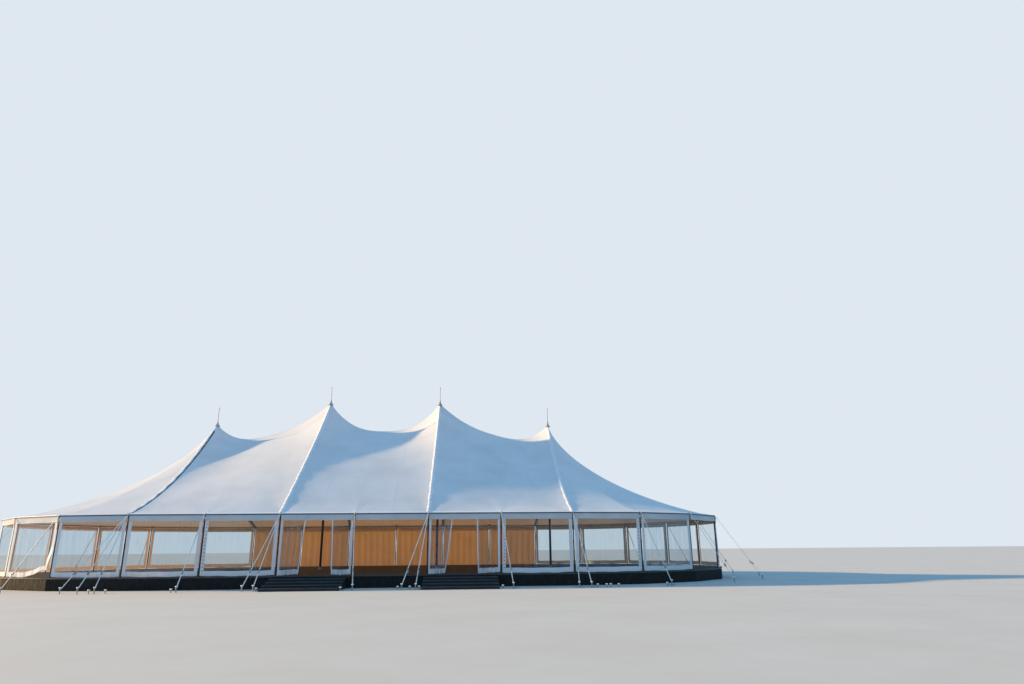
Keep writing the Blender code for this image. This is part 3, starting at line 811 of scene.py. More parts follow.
# Dark grey webbing: the band along the eave, the seams' tape and the walls' tabs. On the band
# its darkness is also painted shade: the dark line under the eave's edge.
DARK_WEBBING_AND_SHADE = Webbing("grey_webbing_and_shade", "#4b5864", "#626d76")
# Galvanised steel: hot-dipped, so a dull grey metal with a coarse cloudy spangle of 22 mm.
STEEL = GrainedFinish("galvanised_steel", "#aeb2b4", "#868b8e", 22.0, metallic=1.0,
                      roughness=0.42, bump=0.0002)
# Powder-coated aluminium: baked dark paint, whose 1 mm orange peel is drawn at 8 mm to show.
SIDE_POLE = GrainedFinish("powder_coated_aluminium", "#20282f", "#161c22", 8.0, roughness=0.38,
                          bump=0.0001)
# Varnished larch: turned and stained dark brown, with its grain drawn out along the pole.
TIMBER = GrainedFinish("stained_timber", "#4a2c1c", "#2b170e", 45.0, (1.0, 1.0, 0.06),
                       roughness=0.42, bump=0.0006)
# Moulded polyethylene of the stakes' caps: bright, slightly waxy white.
CAP_PLASTIC = GrainedFinish("white_polyethylene", "#f2f3f1", "#e2e4e2", 30.0, roughness=0.38,
                            bump=0.0001)
# Black polyester skirting: plain weave, matt, with soft upright creases 90 mm apart. Its
# near-black is also painted shade: the shadow under the floor's edge.
SKIRT_CLOTH = GrainedFinish("black_skirting_and_shade", "#19130f", "#100c0a", 90.0, (1.0, 1.0, 0.3),
                            roughness=0.9, bump=0.002)
# Film-faced plywood of the treads: pressed, near black, with a grey bloom where feet fall.
TREAD = GrainedFinish("film_faced_plywood", "#101212", "#1a1d1d", 140.0, (1.0, 0.4, 0.4),
                      roughness=0.6, bump=0.0006)
# Phenolic-faced plywood of the floor: a dull dark resin skin, paler where feet scuff it.
FLOOR_BOARDS = FloorBoards()
# Anodised aluminium of the nosings: extruded, so satin grey metal with long fine lines.
NOSING = GrainedFinish("anodised_aluminium", "#53585b", "#43484b", 30.0, (0.1, 1.0, 1.0),
                       metallic=0.8, bump=0.0001)
# Braided polyester cord: white, dull, its 3 mm plait drawn at 9 mm to show.
LACE = GrainedFinish("braided_cord", "#dfe2e4", "#b5b9bc", 9.0, roughness=0.7, bump=0.0008)
# Braided nylon rope, dyed near black: it takes the light a little more evenly than the lace.
DARK_CORD = GrainedFinish("dark_shock_cord", "#2a2e33", "#191c20", 9.0, roughness=0.65, bump=0.0006)
# Moulded fibreglass of the crown caps, gel-coated. Its grey-blue, darker than off-white, is
# painted shade: the caps stand in shade, and their sunlit rim stays dull.
CROWN_SHELL = GrainedFinish("gel_coated_fibreglass", "#b4bbc1", "#9aa3aa", 60.0, roughness=0.45,
                            bump=0.0003)
# The studio's floor: matt painted screed, with trowel marks of about 2.6 m.
GROUND = GrainedFinish("studio_floor", "#c2c3c0", "#babbb8", 2600.0, roughness=0.9)


def circle(radius: float, sides: int) -> Array:
    """A closed round outline, as sides x 2 points."""
    turn = np.arange(sides) * 2 * math.pi / sides
    return radius * np.stack((np.cos(turn), np.sin(turn)), axis=1)


def flat_outline(width: float, thick: float, crown: float = 0.0) -> Array:
    """A closed outline of a strap.

    Args:
        width: its size across.
        thick: its thickness.
        crown: how far its middle is raised.

    Returns:
        Points x 2, in order round it.
    """
    half, t = width / 2, thick / 2
    return np.array((
        (-half, -t * 0.6), (-half * 0.9, -t), (0.0, -t + crown), (half * 0.9, -t),
        (half, -t * 0.6), (half, t * 0.6), (half * 0.9, t), (0.0, t + crown),
        (-half * 0.9, t), (-half, t * 0.6),
    ))


def box_outline(width: float, height: float, bevel: float) -> Array:
    """A closed rectangular outline with bevelled corners."""
    w, h, b = width / 2, height / 2, bevel
    return np.array(((b - w, -h), (w - b, -h), (w, b - h), (w, h - b),
                     (w - b, h), (b - w, h), (-w, h - b), (-w, b - h)))


class Maker:
    """Gathers the grids of one mesh, with cloth coordinates in metres, and makes the piece."""

    def __init__(self, *finishes: Finish, sharp: float = 40.0,
                 cut: Callable[[bmesh.types.BMesh], None] | None = None) -> None:
        """Start an empty mesh.

        Args:
            finishes: what it is made of; what names none of them gets the first.
            sharp: angle in degrees from which an edge stays sharp.
            cut: function that changes the bmesh before it is written, or None.
        """
        self.finishes = finishes
        self.sharp = sharp
        self.cut = cut
        self.points: list[Array] = []
        self.quads: list[Array] = []
        self.corners: list[Array] = []
        self.numbers: list[Array] = []
        self.count = 0

    def grid(self, points: Array, along: Array, down: Array,
             finish: Finish | Array | None = None) -> None:
        """Add a grid of quads.

        Args:
            points: rows x columns x 3 places.
            along: cloth coordinate of each column, or of each point.
            down: cloth coordinate of each row, or of each point.
            finish: one of the mesh's finishes, or the number of the finish of each quad.
        """
        if not isinstance(finish, Array):
            finish = 0 if finish is None else self.finishes.index(finish)
        down = down[:, None] if down.ndim == 1 else down
        cloth = np.stack(np.broadcast_arrays(along, down), axis=-1)
        rows, columns = points.shape[:2]
        index = np.arange(rows * columns).reshape(rows, columns) + self.count
        near, far = slice(None, -1), slice(1, None)
        order = ((near, near), (near, far), (far, far), (far, near))
        self.quads.append(np.stack([index[a, b] for a, b in order], axis=-1).reshape(-1, 4))
        self.corners.append(np.stack([cloth[a, b] for a, b in order], axis=-2).reshape(-1, 4, 2))
        self.numbers.append(np.broadcast_to(finish, (rows - 1, columns - 1)).reshape(-1))
        self.points.append(points.reshape(-1, 3))
        self.count += rows * columns

    def sweep(self, path: Array, outline: Array, side: Array | None = None,
              finish: Finish | None = None, scale: Row | None = None) -> None:
        """Sweep a closed outline along a path and close its ends.

        Args:
            path: n x 3 places.
            outline: m x 2, across and up, in order round the outline.
            side: the way that "across" points, or None where it may turn freely.
            finish: one of the mesh's finishes.
            scale: size of the outline at each place of the path, 1 where left out.
        """
        path = np.asarray(path, float)
        run = np.gradient(path, axis=0)
        run /= np.linalg.norm(run, axis=1)[:, None]
        guide = UP if abs(run[0] @ UP) < 0.9 else np.array((1.0, 0.0, 0.0))
        if side is not None:
            guide = np.asarray(side, float)
        girth = travelled(np.vstack((outline, outline[:1])))
        rows = []
        for place, way, size in zip(path, run, scale or np.ones(len(path))):
            across = guide - way * (guide @ way)
            across /= np.linalg.norm(across)
            if side is None:
                guide = across
            up = np.cross(way, across)
            loop = place + size * (outline[:, :1] * across + outline[:, 1:] * up)
            rows.append(np.vstack((loop, loop[:1])))
        first, last = (np.repeat(path[end][None], len(girth), axis=0) for end in (0, -1))
        self.grid(np.array([first, *rows, last]), girth, np.pad(travelled(path), 1, mode="edge"),
                  finish)

    def tube(self, path: Array, radius: float, sides: int = 8,
             finish: Finish | None = None) -> None:
        """Add a round cord or bar along a path."""
        self.sweep(path, circle(radius, sides), None, finish)

    def bar(self, start: Array, end: Array, width: float, height: float,
            side: Array, bevel: float = 0.002, finish: Finish | None = None) -> None:
        """Add a straight bar with bevelled edges and ends.

        Args:
            start: middle of one end.
            end: middle of the other.
            width: its size along side.
            height: its size the other way.
            side: the way that its width points.
            bevel: width of the bevels.
            finish: one of the mesh's finishes.
        """
        start, end = np.asarray(start, float), np.asarray(end, float)
        way = (end - start) / np.linalg.norm(end - start)
        path = np.array((start, start + way * bevel, end - way * bevel, end))
        shrink = 1 - 2 * bevel / max(width, height)
        self.sweep(path, box_outline(width, height, bevel), side, finish, (shrink, 1, 1, shrink))

    def lathe(self, profile: Sequence[Pair], base: Array, sides: int = 16,
              finish: Finish | None = None) -> None:
        """Add a form turned about an upright axis.

        Args:
            profile: (radius, height) pairs in order.
            base: where the axis meets height 0.
            sides: facets round it.
            finish: one of the mesh's finishes.
        """
        turn = np.linspace(0, 2 * math.pi, sides + 1)
        closed = np.append(turn[:-1], 0.0)
        ring = np.stack((np.sin(closed), -np.cos(closed), np.zeros(sides + 1)), axis=1)
        rows = [np.asarray(base, float) + ring * r + UP * h for r, h in profile]
        widest = max(r for r, _ in profile)
        self.grid(np.array(rows), turn * widest, travelled(np.array(profile, float)), finish)

    def object(self, name: str) -> bpy.types.Object:
        """Make the object: points that coincide are joined, and faces without area go.

        Args:
            name: the object's name.

        Returns:
            The new object, linked to the scene.
        """
        mesh = bpy.data.meshes.new(name)
        quads = np.concatenate(self.quads)
        mesh.from_pydata(np.concatenate(self.points).tolist(), [], quads.tolist())
        layer = mesh.uv_layers.new(name="cloth")
        layer.data.foreach_set("uv", np.concatenate(self.corners).astype(np.float32).ravel())
        mesh.polygons.foreach_set("material_index", np.concatenate(self.numbers).astype(np.int32))
        shape = bmesh.new()
        shape.from_mesh(mesh)
        bmesh.ops.remove_doubles(shape, verts=shape.verts, dist=2e-5)
        bmesh.ops.dissolve_degenerate(shape, edges=shape.edges, dist=1e-5)
        if self.cut:
            self.cut(shape)
        shape.to_mesh(mesh)
        shape.free()
        mesh.shade_smooth()
        mesh.set_sharp_from_angle(angle=math.radians(self.sharp))
        for finish in self.finishes:
            mesh.materials.append(finish.material())
        item = bpy.data.objects.new(name, mesh)
        bpy.context.scene.collection.objects.link(item)
        return item

    def piece(self, name: str, slot: str, *replaces: str) -> bpy.types.Object:
        """Make the object and hand it to the frame.

        Args:
            name: the piece's name.
            slot: name of a material slot; not used.
            replaces: CAD nodes that it stands for.

        Returns:
            The piece.
        """
        item = self.object(name)
        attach(item, ROOT)
        if replaces:
            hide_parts(*replaces)
        log.info("%s: %d faces", item.name, len(item.data.polygons))
        return item


def dress_node(node: str, finish: Finish) -> None:
    """Give a CAD node that stays its finish.

    Args:
        node: its name.
        finish: what it is made of.
    """
    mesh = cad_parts[node].data
    mesh.materials.clear()
    mesh.materials.append(finish.material())
    log.info("%s: %s", node, finish.name)


class RingLine(NamedTuple):
    """Plan stations along a side: places, plan vectors out, and each one's share of its bay."""

    places: Array
    ways: Array
    shares: Array


def ring_line(bays: range, offset: float, per_bay: int) -> RingLine:
    """Evenly spaced plan stations along a side.

    Args:
        bays: the bays that they pass.
        offset: how far out of the poles they are.
        per_bay: number of steps in each bay.

    Returns:
        The stations.
    """
    places, ways, shares = [], [], []
    for bay in bays:
        first, last = PLAN.off_pole(bay, offset), PLAN.off_pole(bay + 1, offset)
        steps = np.linspace(0.0, 1.0, per_bay + 1)
        for share in steps if bay == bays[-1] else steps[:-1]:
            places.append(first * (1 - share) + last * share)
            ways.append(PLAN.out(bay))
            shares.append(share)
    return RingLine(np.array(places), np.array(ways), np.array(shares))


@dataclass
class Canopy:
    """Five laced sections of coated cloth, each one continuous sheet, with hems and seams."""

    columns: int = 56
    rows: int = 76
    end_columns: int = 144
    end_rows: int = 84
    row_power: float = 1.3
    bunching: float = 0.35
    seam_gap: float = 0.0004
    end_core: float = 0.05
    cut_reach: float = 1.2
    cap_clear: float = 0.003
    hem_cord: float = 0.009
    hem_cord_drop: float = 0.002
    hem_lift: float = 0.0035
    hem_insets: Row = (0.002, 0.03, 0.06, 0.09)
    hem_tuck: Pair = (0.0905, 0.001)
    hem_pitch: float = 0.03
    patch_width: float = 0.24
    patch_depth: float = 0.26
    patch_inset: float = 0.004
    patch_lift: float = 0.0045
    patch_taper: float = 0.6
    eyelet_lift: float = 0.004
    eyelet: Profile = (
        (0.014, 0), (0.030, 0.001), (0.032, 0.003), (0.028, 0.006), (0.016, 0.006), (0.014, 0),
    )
    pin: Profile = (
        (0.012, -0.05), (0.012, 0.012), (0.008, 0.018), (0, 0.019),
    )
    flap_width: float = 0.17
    flap_start: float = 0.30
    flap_end: float = 0.997
    flap_lift: float = 0.004
    flap_rise: float = 0.030
    flap_wave: float = 0.014
    flap_wave_length: float = 0.92
    flap_leans: Row = (-0.075, 0.0, 0.0, 0.0)
    # What a flap is cut to: so many times its width, and so many times its run in plan.
    flap_cut: Pair = (1.05, 1.2)
    # The seams' dark tape is real webbing, and also painted shade: the shaded line beside each
    # flap.
    tape_width: float = 0.045
    bare_tape_width: float = 0.10
    bare_tape_shift: float = 0.03
    tape_lift: float = 0.003
    tape_clear: float = 0.014
    tape_clear_width: float = 0.010
    # Plan distances from the ridge and from the eave at which tape and lace end.
    tape_ends: Pair = (0.45, 0.02)
    lace_ends: Pair = (0.5, 0.15)
    lace_pitch: float = 0.30
    lace_radius: float = 0.0035
    lace_reach: Pair = (0.088, 0.03)
    lace_lift: float = 0.006

    def shares(self, rows: int) -> Array:
        """Rows from peak to eave, closer together at the peak."""
        return (np.arange(rows + 1) / rows) ** self.row_power

    def crown_cut(self, shape: bmesh.types.BMesh, peaks: tuple[int, ...]) -> None:
        """Cut a section level with the caps' undersides where it passes under them.

        Args:
            shape: the section's mesh; what is above the cuts goes.
            peaks: numbers of its peaks.
        """
        for k in peaks:
            peak = Vector((PLAN.peak_x(k), 0))
            near = {v for v in shape.verts if (v.co.xy - peak).length < self.cut_reach}
            faces = [f for f in shape.faces if any(v in near for v in f.verts)]
            edges = dict.fromkeys(e for f in faces for e in f.edges)
            verts = dict.fromkeys(v for f in faces for v in f.verts)
            bmesh.ops.bisect_plane(shape, geom=[*verts, *edges, *faces],
                                   plane_co=(0, 0, FORM.crown_level(k) - self.cap_clear),
                                   plane_no=(0, 0, 1), clear_outer=True)

    def bay_section(self, k: int) -> None:
        """The section between two peaks, front and back in one sheet.

        Args:
            k: number of the first peak.
        """
        word = ("left", "middle", "right")[k]
        even = np.arange(self.columns + 1) / self.columns
        bunched = (1 - np.cos(math.pi * even)) / 2
        t = bunched * self.bunching + even * (1 - self.bunching)
        half = self.shares(self.rows)
        tt, ll = np.meshgrid(t, np.concatenate((-half[::-1], half[1:])))
        x = PLAN.peak_x(k) + self.seam_gap / 2 + tt * (PLAN.pitch - self.seam_gap)
        z = PLAN.eave + FORM.bay_height(k, tt, np.abs(ll))
        points = np.stack((x, ll * PLAN.reach, z), axis=-1)
        length = travelled(points)
        maker = Maker(CANOPY_CLOTH, cut=partial(self.crown_cut, peaks=(k, k + 1)))
        maker.grid(points, tt * PLAN.pitch, length)
        item = maker.piece(f"canopy_{word}_bay", "canopy", f"roof_{word}_bay")

    def end_section(self, word: str, side: int) -> None:
        """A round end in one sheet of welded gores.

        Args:
            word: left or right.
            side: -1 for left and 1 for right.
        """
        k = 0 if side < 0 else PLAN.centre_poles - 1
        angle = np.linspace(-math.pi / 2, math.pi / 2, self.end_columns + 1)
        s = np.maximum(self.shares(self.end_rows), self.end_core / PLAN.radius)
        aa, ss = np.meshgrid(angle, s)
        reach = ss * FORM.end_edge(aa)
        x = side * (PLAN.half_straight + self.seam_gap / 2 + reach * np.cos(aa))
        points = np.stack((x, reach * np.sin(aa), PLAN.eave + FORM.end_height(aa, ss)), axis=-1)
        length = travelled(points)
        maker = Maker(CANOPY_CLOTH, cut=partial(self.crown_cut, peaks=(k,)))
        maker.grid(points, aa / PLAN.chord_angle * PLAN.bay + PLAN.bay / 2, length)
        item = maker.piece(f"canopy_{word}_end", "canopy", f"roof_{word}_end")

    def eave_hem(self, side: Side) -> None:
        """The roped hem of one side's eave, under a doubled band of cloth.

        Args:
            side: the side.
        """
        line = ring_line(PLAN.bays_of(side), PLAN.overhang, 16)
        maker = Maker(HEM_CLOTH, STEEL)
        maker.sweep(at_level(line.places, PLAN.eave - self.hem_cord_drop),
                    circle(self.hem_cord, 8), UP)
        insets = [(inset, self.hem_lift) for inset in self.hem_insets] + [self.hem_tuck]
        bands = [FORM.over(line.places - line.ways * inset, lift) for inset, lift in insets]
        maker.grid(np.array(bands), travelled(line.places), np.arange(len(bands)) * self.hem_pitch)
        for i in PLAN.poles_of(side):
            self.corner_patch(maker, i)
        maker.piece(f"eave_hem_{side.value}", "canopy")

    def corner_patch(self, maker: Maker, i: int) -> None:
        """Add a pole's doubled patch of cloth, its steel eyelet and its pin.

        Args:
            maker: the mesh that it goes into.
            i: the pole's number.
        """
        way = PLAN.guy_way(i)
        corner = PLAN.off_pole(i, PLAN.overhang - self.patch_inset)
        v = np.linspace(0, 1, 8)[:, None]
        across = np.linspace(-1, 1, 9) * (self.patch_width / 2 * (1 - self.patch_taper * v ** 1.5))
        plan = corner - way * v[..., None] * self.patch_depth + across[..., None] * sideways(way)
        lift = self.patch_lift * np.minimum(1.0, (1 - v) * 8 + 0.2)
        maker.grid(FORM.over(plan, lift), across, v * self.patch_depth)
        eye = FORM.over(PLAN.pole(i), self.eyelet_lift)
        maker.lathe(self.eyelet, eye, 20, STEEL)
        maker.lathe(self.pin, eye, 12, STEEL)

    def seam_flap(self, k: int, side: int) -> None:
        """The weather flap over one half of a seam.

        It stands up along its middle over the tape, sways along its run, and lies down at the eave.

        Args:
            k: number of the seam's peak.
            side: -1 for the front and 1 for the back.
        """
        s = np.linspace(self.flap_start / PLAN.reach, self.flap_end, 170)
        run = s * PLAN.reach
        waves = run / self.flap_wave_length
        sway = np.sin(waves * 2 * math.pi + k) + 0.4 * np.sin(waves * 5.1 + 2 * k)
        middle = PLAN.peak_x(k)
        crest = FORM.top(np.stack((np.full(len(run), middle), side * run), axis=-1))
        a = np.linspace(-1, 1, 13)[:, None]
        shift = self.flap_wave * sway * (0.4 + 0.6 * (a + 1) / 2)
        x = middle + self.flap_width / 2 * a + shift + self.flap_leans[k]
        arch = self.flap_rise * (1 - a * a) * (0.75 + 0.25 * np.sin(run * 7.3 + k))
        lift = (self.flap_lift + arch) * smooth_step((1 - s) / 0.01 + 0.15)
        beside = np.maximum(0, np.abs(x - middle) - self.tape_clear_width)
        places = FORM.over(np.stack(np.broadcast_arrays(x, side * run), axis=-1), lift)
        places[..., 2] = np.maximum(places[..., 2], crest + self.tape_clear - 2.0 * beside)
        maker = Maker(HEM_CLOTH)
        maker.grid(places, a * self.flap_width / 2, run[None])
        word = "front" if side < 0 else "back"
        item = maker.piece(f"seam_flap_{word}_{k + 1}", "canopy")
        wide, long = self.flap_cut

    def lace_loops(self, maker: Maker, k: int, side: int) -> None:
        """Add loops of lace through both cloths of a seam and over its flap.

        Args:
            maker: the mesh that it goes into.
            k: number of the seam's peak.
            side: -1 for the front and 1 for the back.
        """
        turn = np.linspace(0, math.pi, 13)
        wide, skew = self.lace_reach
        first, last = self.lace_ends
        for y in side * np.arange(first, PLAN.reach - last, self.lace_pitch):
            x = PLAN.peak_x(k) + self.flap_leans[k] + wide * np.cos(turn)
            lift = self.lace_lift + (self.flap_rise + self.lace_lift) * np.sin(turn) ** 2
            plan = np.stack((x, y + skew * np.cos(turn)), axis=1)
            maker.tube(FORM.over(plan, lift), self.lace_radius, 6)

    def seam_tape(self, maker: Maker, k: int, side: int) -> None:
        """Add dark webbing along a seam, wider and in sight where the flap leans away.

        Its dark grey also stands in for the shade beside the flap: painted shade.

        Args:
            maker: the mesh that it goes into.
            k: number of the seam's peak.
            side: -1 for the front and 1 for the back.
        """
        half, shift = self.tape_width / 2, 0.0
        if self.flap_leans[k]:
            half, shift = self.bare_tape_width / 2, self.bare_tape_shift
        upper = shift + half * np.array((-1.0, -0.8, -0.3, 0.0, 0.3, 0.8, 1.0))
        across = np.concatenate((upper, upper[::-1], upper[:1]))
        over = np.array((0.0, *[self.tape_lift] * 5, 0.0))
        lift = np.concatenate((over, np.full(7, -self.tape_lift), (0.0,)))
        first, last = self.tape_ends
        run = side * np.linspace(first, PLAN.reach - last, 120)[::-side]
        aa, yy = np.meshgrid(across, run, indexing="ij")
        plan = np.stack((PLAN.peak_x(k) + aa, yy), axis=-1)
        maker.grid(FORM.over(plan, lift[:, None]), aa, yy, DARK_WEBBING_AND_SHADE)

    def seam_lace(self, k: int) -> None:
        """A seam's lace from the crown to each eave, and the tape under it.

        Args:
            k: number of the seam's peak.
        """
        maker = Maker(LACE, DARK_WEBBING_AND_SHADE)
        for side in (-1, 1):
            self.lace_loops(maker, k, side)
            self.seam_tape(maker, k, side)
        maker.piece(f"seam_lace_{k + 1}", "canopy")

    def build(self) -> None:
        """Make all of the canopy's pieces."""
        for k in range(PLAN.centre_poles - 1):
            self.bay_section(k)
        self.end_section("left", -1)
        self.end_section("right", 1)
        for side in Side:
            self.eave_hem(side)
        for k in range(PLAN.centre_poles):
            self.seam_flap(k, -1)
            self.seam_flap(k, 1)
            self.seam_lace(k)


@dataclass
class Valance:
    """The strip of cloth that hangs from the eave, open at each pole, with a corded hem.

    It waves more towards its foot and curls out at its ends. In the slack bays it is pleated.
    """

    offset: float = 0.057
    top: float = 2.9397
    drop: float = 0.260
    depths: Row = (0.0, 0.05, 0.12, 0.30, 0.55, 0.80, 1.0)
    gap: float = 0.045
    clear: float = 0.010
    wave: float = 0.007
    sag: float = 0.006
    curl: float = 0.010
    curl_reach: float = 0.03
    hem: float = 0.005
    slack_bays: tuple[int, ...] = (28,)
    slack_wave: float = 0.012
    slack_pitch: float = 0.19

    def out(self, bay: int, d: Array, part: Array) -> Array:
        """How far out of the poles' line the cloth hangs.

        Args:
            bay: the bay that it is in.
            d: distances along the bay.
            part: share of the way down.

        Returns:
            The offsets.
        """
        share = d / PLAN.bay
        loose = (np.sin(share * 9.2 + bay * 1.7) + 0.6 * np.sin(share * 23.0 + bay * 2.9)
                 + 0.8 * np.sin(share * 3.1 + bay))
        out = self.offset + self.wave * loose * part * smooth_step((part - 0.2) / 0.5)
        if bay in self.slack_bays:
            pleats = np.sin(d * 2 * math.pi / self.slack_pitch + np.sin(d * 2.3))
            out = out + self.slack_wave * pleats * smooth_step(part / 0.3) * (1 - 0.75 * part)
        ends = (np.exp(-(d - self.gap) / self.curl_reach)
                + np.exp(-(PLAN.bay - self.gap - d) / self.curl_reach))
        return np.maximum(out, self.offset - self.clear) + self.curl * ends * part

    def build_side(self, side: Side) -> None:
        """One side's valance, a length of cloth from pole to pole in each bay.

        Args:
            side: the side that it is on.
        """
        maker = Maker(VALANCE_CLOTH)
        bays = PLAN.bays_of(side)
        d = np.linspace(self.gap, PLAN.bay - self.gap, 41)
        part = np.array(self.depths)[:, None]
        level = self.top - self.drop * part - self.sag * np.sin(d / PLAN.bay * math.pi) * part
        for count, bay in enumerate(bays):
            places = at_level(PLAN.in_bay(bay, d, self.out(bay, d, part)), level)
            maker.grid(places, count * PLAN.bay + d, self.drop * part)
            maker.tube(places[-1], self.hem, 6)
        item = maker.piece(f"valance_cloth_{side.value}", "canopy", f"valance_{side.value}")

    def build(self) -> None:
        """Make the four valances."""
        for side in Side:
            self.build_side(side)


@dataclass
class SidePoles:
    """Dark side poles in two telescoping lengths on round plates, and the rope along them."""

    radius: float = 0.030
    upper_radius: float = 0.0265
    joint: float = 1.25
    joint_ring: float = 0.004
    joint_height: float = 0.05
    cross_pin: Pair = (0.005, 0.048)
    plate_radius: float = 0.046
    plate: float = 0.008
    seat: float = 0.0003
    pin_radius: float = 0.012
    shoulder: float = 2.92
    pin_top: float = 2.94
    rope_offset: float = 0.036
    rope_level: float = 2.850
    rope_radius: float = 0.0085

    def build_side(self, side: Side) -> None:
        """One side's poles and rope.

        Args:
            side: the side that it is on.
        """
        maker = Maker(SIDE_POLE, STEEL, DARK_CORD)
        foot = PLAN.floor_top + self.seat
        plate = foot + self.plate
        joint = foot + self.joint
        ring = self.radius + self.joint_ring
        over = joint + self.joint_height
        profile = [
            (0, foot), (self.plate_radius, foot), (self.plate_radius, plate - 0.002),
            (self.plate_radius - 0.002, plate), (self.radius, plate + 0.004), (self.radius, joint),
            (ring, joint), (ring, over), (self.upper_radius, over + 0.005),
            (self.upper_radius, self.shoulder - 0.004), (self.upper_radius - 0.004, self.shoulder),
            (self.pin_radius, self.shoulder), (self.pin_radius, self.pin_top), (0, self.pin_top),
        ]
        thick, reach = self.cross_pin
        for i in PLAN.poles_of(side):
            maker.lathe(profile, at_level(PLAN.pole(i), 0.0), 20)
            way, _ = PLAN.guy_axes(i)
            pin = at_level(PLAN.pole(i), joint + self.joint_height / 2)
            maker.tube(np.array((pin - way * reach, pin + way * reach)), thick, 8, STEEL)
        line = ring_line(PLAN.bays_of(side), self.rope_offset, 8)
        maker.tube(at_level(line.places, self.rope_level), self.rope_radius, 8, DARK_CORD)
        maker.piece(f"side_poles_{side.value}_dressed", "side_pole", f"side_poles_{side.value}")

    def build(self) -> None:
        """Make the four sides' poles."""
        for side in Side:
            self.build_side(side)


@dataclass(frozen=True)
class WindowCut:
    """Where a panel's window starts and ends, and how wide the lap welded round it is.

    Each holds what runs along the panel first, and then what runs down it.
    """

    along: Pair
    down: Pair
    laps: Pair

    def lines(self, size: Pair, steps: Pair) -> list[Array]:
        """Stations along and down a panel, with the edges of the window and its lap among them."""
        return [stations(full, (a, b, a - lap, b + lap), step)
                for full, (a, b), lap, step in zip(size, (self.along, self.down), self.laps, steps)]

    def zones(self, across: Array, down: Array) -> Array:
        """What each quad of a panel is made of.

        Args:
            across: stations along the panel.
            down: stations down it.

        Returns:
            Numbers of finishes, rows x columns.
        """
        zone = np.full((len(down) - 1, len(across) - 1), Panel.BORDER.value)
        for grow, kind in ((1.0, Panel.LAP), (0.0, Panel.WINDOW)):
            inside = []
            for places, (a, b), lap in zip((across, down), (self.along, self.down), self.laps):
                middle = (places[1:] + places[:-1]) / 2
                inside.append((middle > a - grow * lap) & (middle < b + grow * lap))
            zone[inside[1][:, None] & inside[0][None]] = kind.value
        return zone


